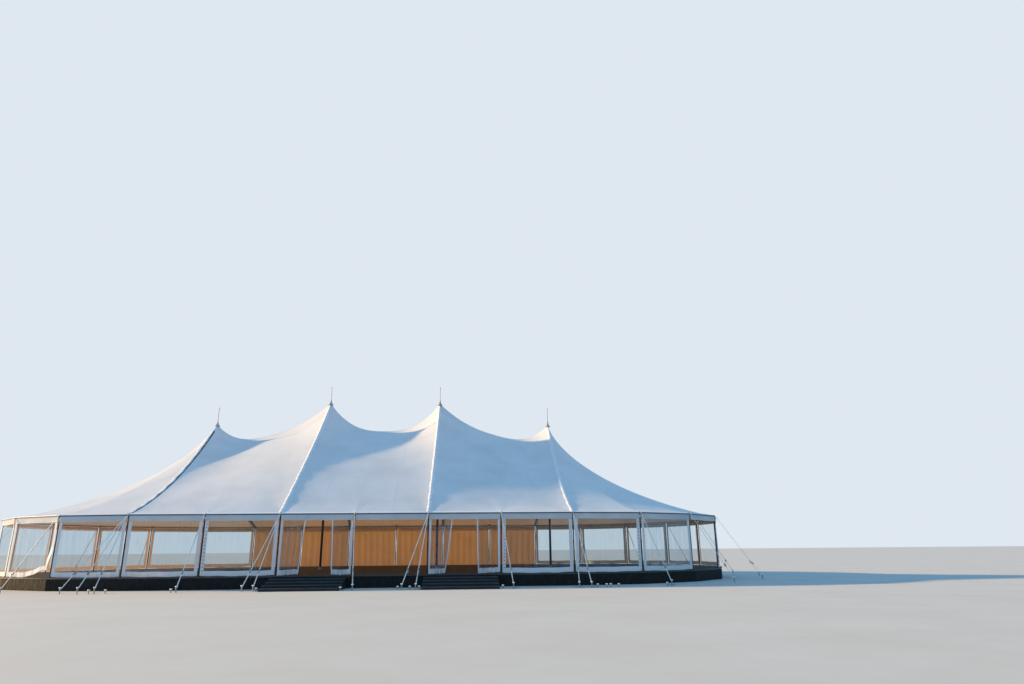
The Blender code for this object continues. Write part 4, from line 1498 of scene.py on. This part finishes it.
@dataclass
class Walls:
    """Wall panels that hang from the rope: clear windows in borders, and cloth at the back.

    A clear panel ripples between its edges, bellies out at its foot and hangs a little short in
    its middle. In the slack bays its foot is caught up at the far pole.
    """

    offset: float = 0.036
    top: float = 2.8395
    foot: float = 0.502
    gap: float = 0.05
    top_hem: float = 0.10
    side_border: float = 0.14
    foot_border: float = 0.20
    lap: float = 0.022
    tie: float = 0.12
    ripple: float = 0.010
    belly: float = 0.030
    foot_rise: float = 0.028
    foot_wave: float = 0.008
    slack_bays: tuple[int, ...] = (28,)
    slack_rise: float = 0.26
    slack_swing: float = 0.12
    fold: float = 0.005
    fold_pitch: float = 0.39
    tab: Pair = (0.022, 0.004)
    tab_reach: Pair = (0.050, 0.105)
    tab_levels: Pair = (0.72, 2.6)
    tab_pitch: float = 0.14
    # Bays with tabs along an edge: True for the far one, False for the one that comes first.
    tabbed: dict[int, bool] = field(default_factory=lambda: {
        1: False, 5: False, 6: True, 10: False, 22: False, 26: True,
    })
    runs: dict[str, tuple[int, ...]] = field(default_factory=lambda: {
        "wall_front_left": (0, 1), "wall_front_right": (5,), "wall_right_front": (6, 7),
        "wall_right_middle": (9, 10, 11), "wall_right_back": (12, 13, 14),
        "wall_left_back": (21, 22, 23), "wall_left_middle": (24, 25, 26),
        "wall_left_front": (27, 28, 29),
    })

    @property
    def width(self) -> float:
        """Width of a panel between two poles."""
        return PLAN.bay - 2 * self.gap

    @property
    def height(self) -> float:
        """Height of a panel."""
        return self.top - self.foot

    def hang(self, bay: int, across: Array, out: Array, down: Array) -> Array:
        """Places of a panel from stations across it, and each point's swing out and hang down."""
        return at_level(PLAN.in_bay(bay, self.gap + across, self.offset + out), self.top - down)

    def panel(self, maker: Maker, bay: int, start: float) -> None:
        """Add one bay's window and borders to a run's mesh.

        Args:
            maker: the mesh that it goes into.
            bay: the bay that it closes.
            start: how far along the run's cloth it starts.
        """
        cut = WindowCut((self.side_border, self.width - self.side_border),
                        (self.top_hem, self.height - self.foot_border), (self.lap, self.lap))
        across, down = cut.lines((self.width, self.height), (0.05, 0.075))
        a, v = np.meshgrid(across, down)
        share, part = a / self.width, v / self.height
        tied = smooth_step(share / self.tie) * smooth_step((1 - share) / self.tie)
        loose = smooth_step((v - 0.22) / 0.5)
        ripple = np.sin(a * 9.0 + bay * 2.1 + 0.8 * v) + 0.6 * np.sin(a * 21.0 - 1.3 * v + bay)
        out = self.ripple * ripple * tied * loose
        out += self.belly * np.sin(math.pi * share) * part ** 2
        middle = np.sin(math.pi * share) ** 0.6
        rise = self.foot_rise * (1 - middle) * smooth_step((part - 0.7) / 0.3)
        wave = 1 + np.sin(a * 6.0 + bay * 3.3)
        rise += self.foot_wave * wave * smooth_step((part - 0.8) / 0.2)
        if bay in self.slack_bays:
            caught = np.exp(-((share - 0.95) / 0.30) ** 2)
            rise += self.slack_rise * caught * smooth_step((part - 0.35) / 0.65)
            out += self.slack_swing * caught * smooth_step((part - 0.45) / 0.5)
        maker.grid(self.hang(bay, across, out, v - rise), start + across, down,
                   cut.zones(across, down))

    def top_strip(self, maker: Maker, pole: int) -> None:
        """Add the hem that passes a pole between two panels.

        Args:
            maker: the mesh that it goes into.
            pole: the pole's number.
        """
        plan = np.array((PLAN.in_bay(pole - 1, PLAN.bay - self.gap, self.offset),
                         PLAN.off_pole(pole, self.offset),
                         PLAN.in_bay(pole, self.gap, self.offset)))
        down = self.top_hem * np.array((0.0, 0.5, 1.0))
        places = at_level(np.broadcast_to(plan, (3, 3, 2)), self.top - down[:, None])
        maker.grid(places, np.arange(3) * self.gap, down)

    def tabs(self, maker: Maker, bay: int) -> None:
        """Add the toggle tabs along one of a panel's upright edges.

        Args:
            maker: the mesh that it goes into.
            bay: the panel's bay.
        """
        near, far = (self.gap + reach for reach in self.tab_reach)
        if self.tabbed[bay]:
            near, far = PLAN.bay - far, PLAN.bay - near
        width, thick = self.tab
        ends = [PLAN.in_bay(bay, d, self.offset + thick) for d in (near, far)]
        for level in np.arange(*self.tab_levels, self.tab_pitch):
            maker.bar(at_level(ends[0], level), at_level(ends[1], level), width, thick, UP, 0.001)

    def run(self, node: str, bays: tuple[int, ...]) -> None:
        """One run of clear panels and their tabs.

        Args:
            node: the CAD node that it stands for.
            bays: the bays that it closes.
        """
        maker, tabs = Maker(BORDER_CLOTH, WINDOW, LAP_CLOTH, sharp=60.0), Maker(DARK_WEBBING_AND_SHADE)
        for count, bay in enumerate(bays):
            self.panel(maker, bay, count * PLAN.bay)
            if bay in self.tabbed:
                self.tabs(tabs, bay)
            if count:
                self.top_strip(maker, bay)
        item = maker.piece(f"{node}_panels", "clear_panel", node)
        with_pieces = [tabs.piece(f"{node}_tabs", "webbing")] if tabs.count else []

    def back_wall(self) -> None:
        """The plain wall along the back, in soft upright folds."""
        maker = Maker(WALL_CLOTH, sharp=60.0)
        bays = PLAN.bays_of(Side.BACK)
        across = stations(self.width, (), 0.036)
        down = stations(self.height, (self.top_hem,), 0.12)
        a, v = np.meshgrid(across, down)
        share = a / self.width
        tied = smooth_step(share / 0.06) * smooth_step((1 - share) / 0.06)
        tied = tied * smooth_step((v - 0.02) / 0.5)
        for bay in bays:
            fold = np.sin(a * 2 * math.pi / self.fold_pitch + 0.7 * np.sin(v * 1.1 + bay))
            fold = fold + 0.8 * np.sin(a * 6.3 + bay * 1.9)
            fold = fold + 1.2 * np.sin(v * 2.0 + a * 1.3 + bay)
            maker.grid(self.hang(bay, across, self.fold * fold * tied, v),
                       bay * PLAN.bay + across, down)
            if bay != bays[0]:
                self.top_strip(maker, bay)
        item = maker.piece("back_wall_cloth", "wall_fabric", "wall_back")

    def build(self) -> None:
        """Make every wall."""
        for node, bays in self.runs.items():
            self.run(node, bays)
        self.back_wall()


class FlapShape(NamedTuple):
    """One entrance panel: its widths at top and foot, and how its foot rises and droops."""

    top_width: float
    foot_width: float
    low: float
    rise: float
    droop: float


@dataclass
class EntranceFlaps:
    """Half-width clear panels drawn aside at the two entrances, gathered in upright folds."""

    walls: Walls
    cut_width: float = 1.474
    edge_strip: float = 0.085
    folds: float = 5.0
    depth: float = 0.048
    # The bay of each entrance, and its left and right panel.
    entrances: dict[str, tuple[int, FlapShape, FlapShape]] = field(default_factory=lambda: {
        "left": (2, FlapShape(1.02, 0.84, 0.0, 0.055, 0.0),
                 FlapShape(0.88, 0.78, 0.035, 0.0, 0.03)),
        "right": (4, FlapShape(1.00, 0.70, 0.0, 0.030, 0.0),
                  FlapShape(0.98, 0.92, 0.050, -0.045, 0.0)),
    })

    def places(self, bay: int, shape: FlapShape, mirrored: bool, u: Array, v: Array) -> Array:
        """Places of a panel's grid.

        Args:
            bay: the bay that it hangs in.
            shape: its sizes.
            mirrored: whether it hangs from the bay's far pole.
            u: share of its cut width from the pole, rows x columns.
            v: distance below the rope, rows x columns.

        Returns:
            Rows x columns x 3 places.
        """
        walls = self.walls
        part = v / walls.height
        body = smooth_step((u - 0.02) / 0.25) * smooth_step((1.02 - u) / 0.12)
        swing = body * (0.10 + 0.90 * smooth_step((v - 0.17) / 0.40))
        uneven = 0.9 * np.sin(8.3 * u + 1.9 * bay) + 0.4 * np.sin(2.2 * v + bay)
        size = 1.0 + 0.22 * np.sin(6.1 * u + 2.3 * bay)
        wave = size * np.sin(2 * math.pi * self.folds * u ** 0.92 + bay + uneven)
        out = swing * (self.depth * wave + 0.010 * np.sin(11.0 * u + 1.7 * v))
        reach = shape.top_width + (shape.foot_width - shape.top_width) * part
        along = walls.gap + u * reach
        along = along + 0.012 * np.sin(3.0 * v + bay) * smooth_step(u / 0.4) * part
        if mirrored:
            along = PLAN.bay - along
        hem = shape.low + shape.rise * u - shape.droop * np.sin(math.pi * u)
        hem = hem + 0.006 * (1 + np.sin(23.0 * u + 2 * bay + 2 * np.sin(5 * u)))
        hem = hem * smooth_step((part - 0.75) / 0.25)
        return at_level(PLAN.in_bay(bay, along, walls.offset + out), walls.top - v + hem)

    def flap(self, entrance: str, bay: int, side: str, shape: FlapShape) -> None:
        """Make one panel.

        Args:
            entrance: left or right.
            bay: the entrance's bay.
            side: which of its two panels, left or right.
            shape: the panel's sizes.
        """
        walls = self.walls
        cut = WindowCut((walls.side_border / self.cut_width, 1 - self.edge_strip / self.cut_width),
                        (walls.top_hem, walls.height - walls.foot_border),
                        (walls.lap / self.cut_width, walls.lap))
        across, down = cut.lines((1.0, walls.height), (1 / 70, 0.06))
        u, v = np.meshgrid(across, down)
        maker = Maker(BORDER_CLOTH, WINDOW, LAP_CLOTH, sharp=70.0)
        maker.grid(self.places(bay, shape, side == "right", u, v), across * self.cut_width, down,
                   cut.zones(across, down))
        item = maker.piece(f"{entrance}_entrance_{side}_panel", "clear_panel",
                           f"{entrance}_entrance_{side}_flap")

    def build(self) -> None:
        """Make the four panels."""
        for entrance, (bay, *shapes) in self.entrances.items():
            for side, shape in zip(("left", "right"), shapes):
                self.flap(entrance, bay, side, shape)


@dataclass(frozen=True)
class Ratchet:
    """A strap's ratchet: two cheeks, a spool, a pin, a handle and the webbing's tail.

    A spot is how far down the strap and how far over it something is, from the middle.
    """

    cheek: Triple = (0.120, 0.004, 0.032)
    cheeks_apart: float = 0.050
    cheek_over: float = 0.010
    # Spot, half length, radius and facets of the spool and of the pin.
    rods: tuple[tuple[Pair, float, float, int], ...] = (
        ((0.0, 0.016), 0.030, 0.013, 12), ((0.050, 0.0), 0.028, 0.006, 8),
    )
    handle_spots: tuple[Pair, ...] = ((-0.080, 0.032), (0.025, 0.028))
    handle: Pair = (0.046, 0.006)
    # Spots of the tail, and how far it hangs down from each.
    tail_spots: tuple[Triple, ...] = (
        (-0.02, 0.020, 0.0), (-0.06, 0.028, 0.0), (-0.09, 0.008, 0.04), (-0.075, 0.0, 0.15),
    )
    tail: Pair = (0.036, 0.003)

    def add(self, maker: Maker, place: Array, way: Array, side: Array) -> None:
        """Add it to a mesh.

        Args:
            maker: the mesh that it goes into.
            place: its middle, on the strap.
            way: unit vector down the strap.
            side: unit vector across the strap.
        """
        up = np.cross(side, way)
        up = up if up[2] > 0 else -up
        length, *size = self.cheek
        for cheek in (-1, 1):
            middle = place + side * cheek * self.cheeks_apart / 2 + up * self.cheek_over
            maker.bar(middle - way * length / 2, middle + way * length / 2, *size, side, 0.001,
                      STEEL)
        for (down, over), half, radius, facets in self.rods:
            middle = place + way * down + up * over
            rod = np.array((middle - side * half, middle + side * half))
            maker.tube(rod, radius, facets, STEEL)
        ends = [place + way * down + up * over for down, over in self.handle_spots]
        maker.bar(*ends, *self.handle, side, 0.002, STEEL)
        tail = [place + way * down + up * over - UP * hang for down, over, hang in self.tail_spots]
        maker.sweep(np.array(tail), flat_outline(*self.tail), side)


@dataclass
class Guys:
    """Webbing guys with their ratchets, eave band and anchors, and the stakes that hold them."""

    band_offset: float = 0.0643
    band_level: float = 2.921
    band_height: float = 0.050
    band_thick: float = 0.007
    anchor_plate: Triple = (0.070, 0.036, 0.012)
    anchor_from: float = 0.010
    anchor_reach: float = 0.056
    tongue: Pair = (0.052, 0.012)
    hook_from: float = 0.012
    hook_reach: Pair = (0.036, 0.030)
    hook_radius: float = 0.006
    grip: float = 0.042
    strap_width: float = 0.038
    strap_thick: float = 0.003
    # Half lengths of the folds stitched at a strap's top and foot, and how far down it they are.
    strap_folds: tuple[Pair, ...] = ((0.045, 0.02), (0.06, -0.05))
    foot_level: float = 0.15
    stake_out: float = 2.00
    stake_radius: float = 0.020
    stake_collar: float = 0.026
    stake_top: float = 0.20
    cap_radius: float = 0.050
    cap_height: float = 0.045
    ratchet: Ratchet = Ratchet()
    ratchet_at: float = 0.80
    ring_radius: float = 0.026
    ring_tilt: float = 0.006
    ring_thick: float = 0.0055
    plate_size: Triple = (0.38, 0.10, 0.012)
    plate_level: float = 0.045
    plate_holes: Pair = (-0.13, 0.13)
    plate_pin: Profile = (
        (0, 0), (0.017, 0), (0.017, 0.03), (0.010, 0.04), (0, 0.04),
    )
    # How far along the eave each of a front pole's stakes stands from it, pole by pole.
    front: tuple[Row, ...] = (
        (-1.17, -0.55, 0.06), (-0.04,), (-0.69, -0.28), (0.36,), (-0.84, -0.31), (0.38,),
        (-0.12, 0.36),
    )
    back_seam: Row = (-0.35, 0.35)
    plated_poles: tuple[int, ...] = (5, 6, 7)
    # The same for the spare stakes that hold no guy, which stand lower.
    spare_top: float = 0.11
    spares: dict[int, Row] = field(default_factory=lambda: {
        0: (-0.14, 0.46), 1: (-0.23,), 2: (-0.165,), 3: (-0.09,), 4: (-0.99, -0.53, -0.18),
        5: (-0.03,), 6: (0.59, 0.94, 1.10, 1.41), 7: (-0.22,),
    })

    def offsets(self, i: int) -> Row:
        """How far along the eave each of a pole's stakes stands from it.

        Args:
            i: the pole's number.

        Returns:
            One distance for each stake.
        """
        if i in PLAN.poles_of(Side.FRONT):
            return self.front[i]
        steps = (PLAN.pole(i)[0] + PLAN.half_straight) / PLAN.pitch
        if i in PLAN.poles_of(Side.BACK) and abs(steps - round(steps)) < 0.01:
            return self.back_seam
        return (0.0,)

    def stake_foot(self, i: int, offset: float) -> Array:
        """Where a stake of pole i enters the ground, this far along the eave from the pole."""
        way, side = PLAN.guy_axes(i)
        return at_level(PLAN.pole(i), 0.0) + way * self.stake_out + side * offset

    def stake(self, maker: Maker, foot: Array, top: float) -> None:
        """Add a steel stake with its white cap.

        Args:
            maker: the mesh that it goes into.
            foot: where it enters the ground.
            top: how high it stands.
        """
        maker.lathe([(0, 0.0), (self.stake_radius, 0.0), (self.stake_radius, top - 0.012),
                     (self.stake_collar, top - 0.010), (self.stake_collar, top)], foot, 16, STEEL)
        cap = [(0, 0.0), (0.82, 0.0), (1.0, 0.010), (1.0, 0.020), (0.88, 0.034),
               (0.55, self.cap_height - 0.004), (0, self.cap_height)]
        maker.lathe([(r * self.cap_radius, h + top) for r, h in cap], foot, 20, CAP_PLASTIC)

    def stake_plate(self, maker: Maker, stake: Array, way: Array, side: Array) -> None:
        """Add the plate that spreads a stake's load, with its two pins.

        Args:
            maker: the mesh that it goes into.
            stake: where the stake enters the ground.
            way: unit vector out of the tent.
            side: unit vector along the plate.
        """
        length, width, thick = self.plate_size
        base = stake + UP * self.plate_level
        maker.bar(base - side * length / 2, base + side * length / 2, width, thick, way, 0.003,
                  STEEL)
        for hole in self.plate_holes:
            maker.lathe(self.plate_pin, base + side * hole + UP * thick / 2, 12, STEEL)

    def guy(self, maker: Maker, i: int, offset: float) -> None:
        """Add one guy from a pole's anchor to its stake, and the stake.

        Args:
            maker: the mesh that it goes into.
            i: the pole's number.
            offset: how far along the eave its stake stands from the pole.
        """
        way, side = PLAN.guy_axes(i)
        top = at_level(PLAN.off_pole(i, self.band_offset), self.band_level) + way * self.grip
        stake = self.stake_foot(i, offset)
        foot = stake + UP * self.foot_level
        length = np.linalg.norm(foot - top)
        run = (foot - top) / length
        path = top + (foot - top) * np.linspace(0, 1, 24)[:, None]
        maker.sweep(path, flat_outline(self.strap_width, self.strap_thick, 0.0004), side)
        self.ratchet.add(maker, foot - run * length * (1 - self.ratchet_at), run, side)
        for end, (half, down) in zip((top, foot), self.strap_folds):
            place = end + run * down
            maker.bar(place - run * half, place + run * half, self.strap_width * 0.94,
                      self.strap_thick * 2.4, side, 0.001)
        self.stake(maker, stake, self.stake_top)
        turn = np.linspace(0, 2 * math.pi, 13)
        ring = self.ring_radius * np.stack((np.cos(turn), np.sin(turn)), axis=-1)
        level = self.foot_level + self.ring_tilt * np.sin(2 * turn)
        maker.tube(stake + at_level(ring, level), self.ring_thick, 6, STEEL)
        if i in self.plated_poles:
            self.stake_plate(maker, stake, way, side)

    def anchor(self, maker: Maker, i: int) -> None:
        """Add a pole's steel corner plate, with the ring that its guys hook into.

        Args:
            maker: the mesh that it goes into.
            i: the pole's number.
        """
        way, side = PLAN.guy_axes(i)
        inner = at_level(PLAN.off_pole(i, self.band_offset), self.band_level)
        length, *size = self.anchor_plate
        maker.bar(inner - side * length / 2, inner + side * length / 2, *size, UP, 0.002, STEEL)
        turn = np.linspace(-math.pi / 2, math.pi / 2, 9)[:, None]
        deep, half = self.hook_reach
        hook = inner + way * (self.hook_from + deep * np.cos(turn)) + side * half * np.sin(turn)
        maker.tube(hook, self.hook_radius, 8, STEEL)
        maker.bar(inner + way * self.anchor_from, inner + way * self.anchor_reach, *self.tongue,
                  side, 0.003)

    def build_side(self, side: Side) -> None:
        """One side's band, anchors, guys and stakes.

        Args:
            side: the side that it is on.
        """
        maker = Maker(STRAP, STEEL, CAP_PLASTIC, DARK_WEBBING_AND_SHADE)
        poles = PLAN.poles_of(side)
        # The band starts and ends half a bay beyond the side's own poles.
        line = ring_line(range(poles[0] - 1, poles[-1] + 1), self.band_offset, 8)
        # The band's dark grey is also painted shade: the dark line under the eave's edge.
        maker.sweep(at_level(line.places, self.band_level)[4:-4],
                    box_outline(self.band_height, self.band_thick, 0.001), UP, DARK_WEBBING_AND_SHADE)
        for i in poles:
            self.anchor(maker, i)
            for offset in self.offsets(i):
                self.guy(maker, i, offset)
            for offset in self.spares.get(i, ()):
                self.stake(maker, self.stake_foot(i, offset), self.spare_top)
        maker.piece(f"guys_{side.value}_dressed", "webbing", f"guys_{side.value}")

    def build(self) -> None:
        """Make the four sides' guys."""
        for side in Side:
            self.build_side(side)


@dataclass
class Crowns:
    """The centre poles and the caps over the peaks, with the poles' collars and shoes."""

    pole_radius: float = 0.060
    clear: float = 0.0004
    collar_levels: Row = (3.2, 5.9)
    collar_thick: float = 0.004
    collar_half: float = 0.11
    below_crown: float = 1.0
    shoe_level: float = 0.0126
    shoe: Profile = (
        (0.21, 0.0), (0.21, 0.004), (0.085, 0.006), (0.075, 0.12), (0.061, 0.125),
    )

    def build(self) -> None:
        """Finish the CAD model's caps and poles, and add the collars and shoes."""
        inner, outer = self.pole_radius + self.clear, self.pole_radius + self.collar_thick
        half = self.collar_half
        collar = [(inner, -half), (outer, 0.002 - half), (outer, half - 0.002), (inner, half)]
        for k in range(PLAN.centre_poles):
            dress_node(f"crown_cap_{k + 1}", CROWN_SHELL)
            dress_node(f"centre_pole_{k + 1}", TIMBER)
            maker = Maker(STEEL)
            for level in self.collar_levels:
                if level < FORM.crown_level(k) - self.below_crown:
                    maker.lathe(collar, (PLAN.peak_x(k), 0, level), 24)
            maker.lathe(self.shoe, (PLAN.peak_x(k), 0, PLAN.floor_top + self.shoe_level), 24)
            maker.piece(f"centre_pole_collars_{k + 1}", "centre_pole")


@dataclass
class Floor:
    """The built floor: plywood sheets, a metal nosing, a pleated skirt and two flights of steps."""

    skirt_offset: float = 0.139
    skirt_top: float = 0.4395
    pleat: float = 0.009
    pleat_pitch: float = 0.11
    # Shares of the way down at which the skirt has a row of points.
    skirt_rows: Row = (0.0, 0.06, 0.3, 0.6, 0.85, 1.0)
    skirt_clear: float = 0.001
    fullness: float = 1.07
    nosing_height: float = 0.052
    nosing_thick: float = 0.005
    nosing_offset: float = 0.003
    step_run: float = 0.46
    steps: int = 4
    ribs: int = 4
    rib_pitch: float = 0.011
    rib: Pair = (0.006, 0.0045)
    # Where the first rib is: in from the tread's end, in from its edge, and over it.
    rib_start: Triple = (0.01, 0.010, 0.0025)
    lip: Pair = (0.003, 0.036)
    lip_start: Triple = (0.005, -0.002, -0.016)

    def nosing(self) -> None:
        """The angle that closes the floor's edge all round."""
        maker = Maker(NOSING)
        line = ring_line(range(0, PLAN.bays), PLAN.floor_margin + self.nosing_offset, 1)
        maker.sweep(at_level(line.places, PLAN.floor_top - self.nosing_height / 2),
                    box_outline(self.nosing_height, self.nosing_thick, 0.001), UP)
        maker.piece("floor_nosing", "frame")

    def skirt(self, side: Side) -> None:
        """One side's skirt, pleated and nailed along its top.

        Args:
            side: the side that it is on.
        """
        maker = Maker(SKIRT_CLOTH, sharp=60.0)
        line = ring_line(PLAN.bays_of(side), self.skirt_offset, 96)
        run = travelled(line.places)
        tied = smooth_step(line.shares / 0.02) * smooth_step((1 - line.shares) / 0.02)
        pleats = np.sin(run * 2 * math.pi / self.pleat_pitch + 0.6 * np.sin(run * 1.7))
        part = np.array(self.skirt_rows)[:, None]
        wave = pleats * self.pleat * (0.35 + 0.65 * part) * tied
        wave += 0.003 * np.sin(run * 3.1) * part
        plan = line.places + line.ways * wave[..., None]
        level = self.skirt_top * (1 - part) + self.skirt_clear
        maker.grid(at_level(plan, level), run, self.skirt_top * part)
        item = maker.piece(f"skirt_cloth_{side.value}", "skirt", f"skirt_{side.value}")

    def tread_strips(self, entrance: str) -> None:
        """Ribs and a lip of metal on the edge of each tread of one flight.

        Args:
            entrance: left or right.
        """
        low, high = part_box(f"steps_{entrance}")
        maker = Maker(NOSING)
        strips = [(self.rib, self.rib_start, n * self.rib_pitch) for n in range(self.ribs)]
        for n in range(self.steps):
            level = PLAN.floor_top * (self.steps - n) / (self.steps + 1)
            edge = high.y - (n + 1) * self.step_run
            for size, (end, inside, over), shift in [*strips, (self.lip, self.lip_start, 0.0)]:
                y, z = edge + inside + shift, level + over
                maker.bar((low.x + end, y, z), (high.x - end, y, z), *size, (0, 1, 0), 0.001)
        maker.piece(f"tread_strips_{entrance}", "steps")

    def build(self) -> None:
        """Finish the CAD model's floor and add what is on it."""
        dress_node("floor_deck", FLOOR_BOARDS)
        dress_node("floor_frame", STEEL)
        dress_node("steps_left", TREAD)
        dress_node("steps_right", TREAD)
        self.nosing()
        for side in Side:
            self.skirt(side)
        for entrance in ("left", "right"):
            self.tread_strips(entrance)


@dataclass(frozen=True)
class Studio:
    """The plain floor, the soft light and the camera at the photograph's angle.

    The camera comes from a fit to a frame 1024 pixels wide. Angles are in degrees, and a lamp's
    azimuth turns from the tent's left end towards its back.
    """

    frame_width: int = 1024
    focal_px: float = 695.7
    sensor_mm: float = 36.0
    view_range: float = 4000.0
    camera: Triple = (4.74, -38.97, 1.445)
    heading: float = 3.57
    tilt: float = 16.59
    roll: float = -0.52
    sun_azimuth: float = 13.0
    sun_height: float = 17.0
    sun_size: float = 2.0
    sun_power: float = 7.9
    sun_colour: str = "#ffd59c"
    sky_colour: str = "#9dd2ff"
    sky_power: float = 0.78
    backdrop: str = "#dfe8f0"
    floor_rings: Row = (0.0, 20.0, 60.0, 200.0, 900.0)
    floor_drop: float = 0.004

    def place_camera(self) -> None:
        """The camera, turned to its heading, tilted up and rolled."""
        data = bpy.data.cameras.new("camera")
        data.sensor_width = self.sensor_mm
        data.lens = self.focal_px / self.frame_width * self.sensor_mm
        data.clip_end = self.view_range
        camera = bpy.data.objects.new("camera", data)
        camera.location = self.camera
        heading = Euler((0, 0, -math.radians(self.heading))).to_matrix()
        tilt = Euler((math.radians(90 + self.tilt), 0, 0)).to_matrix()
        roll = Euler((0, 0, math.radians(self.roll))).to_matrix()
        camera.rotation_euler = (heading @ tilt @ roll).to_euler()
        bpy.context.scene.collection.objects.link(camera)
        bpy.context.scene.camera = camera

    def lay_floor(self) -> None:
        """A wide pale floor, a hair below the tent's feet."""
        maker = Maker(GROUND)
        maker.lathe([(r, 0.0) for r in self.floor_rings], (0, 0, -self.floor_drop), 96)
        maker.object("studio_floor")

    def hang_key(self) -> None:
        """A low warm key from the left and a little behind."""
        azimuth, height = math.radians(self.sun_azimuth), math.radians(self.sun_height)
        towards = Vector((-math.cos(height) * math.cos(azimuth),
                          math.cos(height) * math.sin(azimuth), math.sin(height)))
        data = bpy.data.lights.new("key", "SUN")
        data.energy = self.sun_power
        data.angle = math.radians(self.sun_size)
        data.color = linear(self.sun_colour)[:3]
        key = bpy.data.objects.new("key", data)
        key.rotation_euler = towards.to_track_quat("Z", "Y").to_euler()
        bpy.context.scene.collection.objects.link(key)

    def light_sky(self) -> None:
        """An even cool fill from all round, seen as a pale backdrop."""
        world = bpy.data.worlds.new("sky")
        world.use_nodes = True
        world.node_tree.nodes.clear()
        add = partial(add_node, world.node_tree)
        fill = add("Background", {"Color": linear(self.sky_colour), "Strength": self.sky_power})
        shown = add("Background", {"Color": linear(self.backdrop), "Strength": 1.0})
        eye = add("LightPath").outputs["Is Camera Ray"]
        mix = add("MixShader", links={0: eye, 1: fill, 2: shown})
        add("OutputWorld", links={"Surface": mix})
        bpy.context.scene.world = world
        bpy.context.scene.view_settings.view_transform = "Standard"

    def build(self) -> None:
        """Set the studio up."""
        self.place_camera()
        self.lay_floor()
        self.hang_key()
        self.light_sky()


def main() -> None:
    """Build the tent's looks in order."""
    logging.basicConfig(level=logging.INFO, format="%(name)s: %(message)s")
    walls = Walls()
    for part in (Studio(), Floor(), SidePoles(), Crowns(), Canopy(), Valance(), walls,
                 EntranceFlaps(walls), Guys()):
        log.info("building %s", type(part).__name__)
        part.build()
    bpy.context.view_layer.update()


if __name__ == "__main__":
    main()
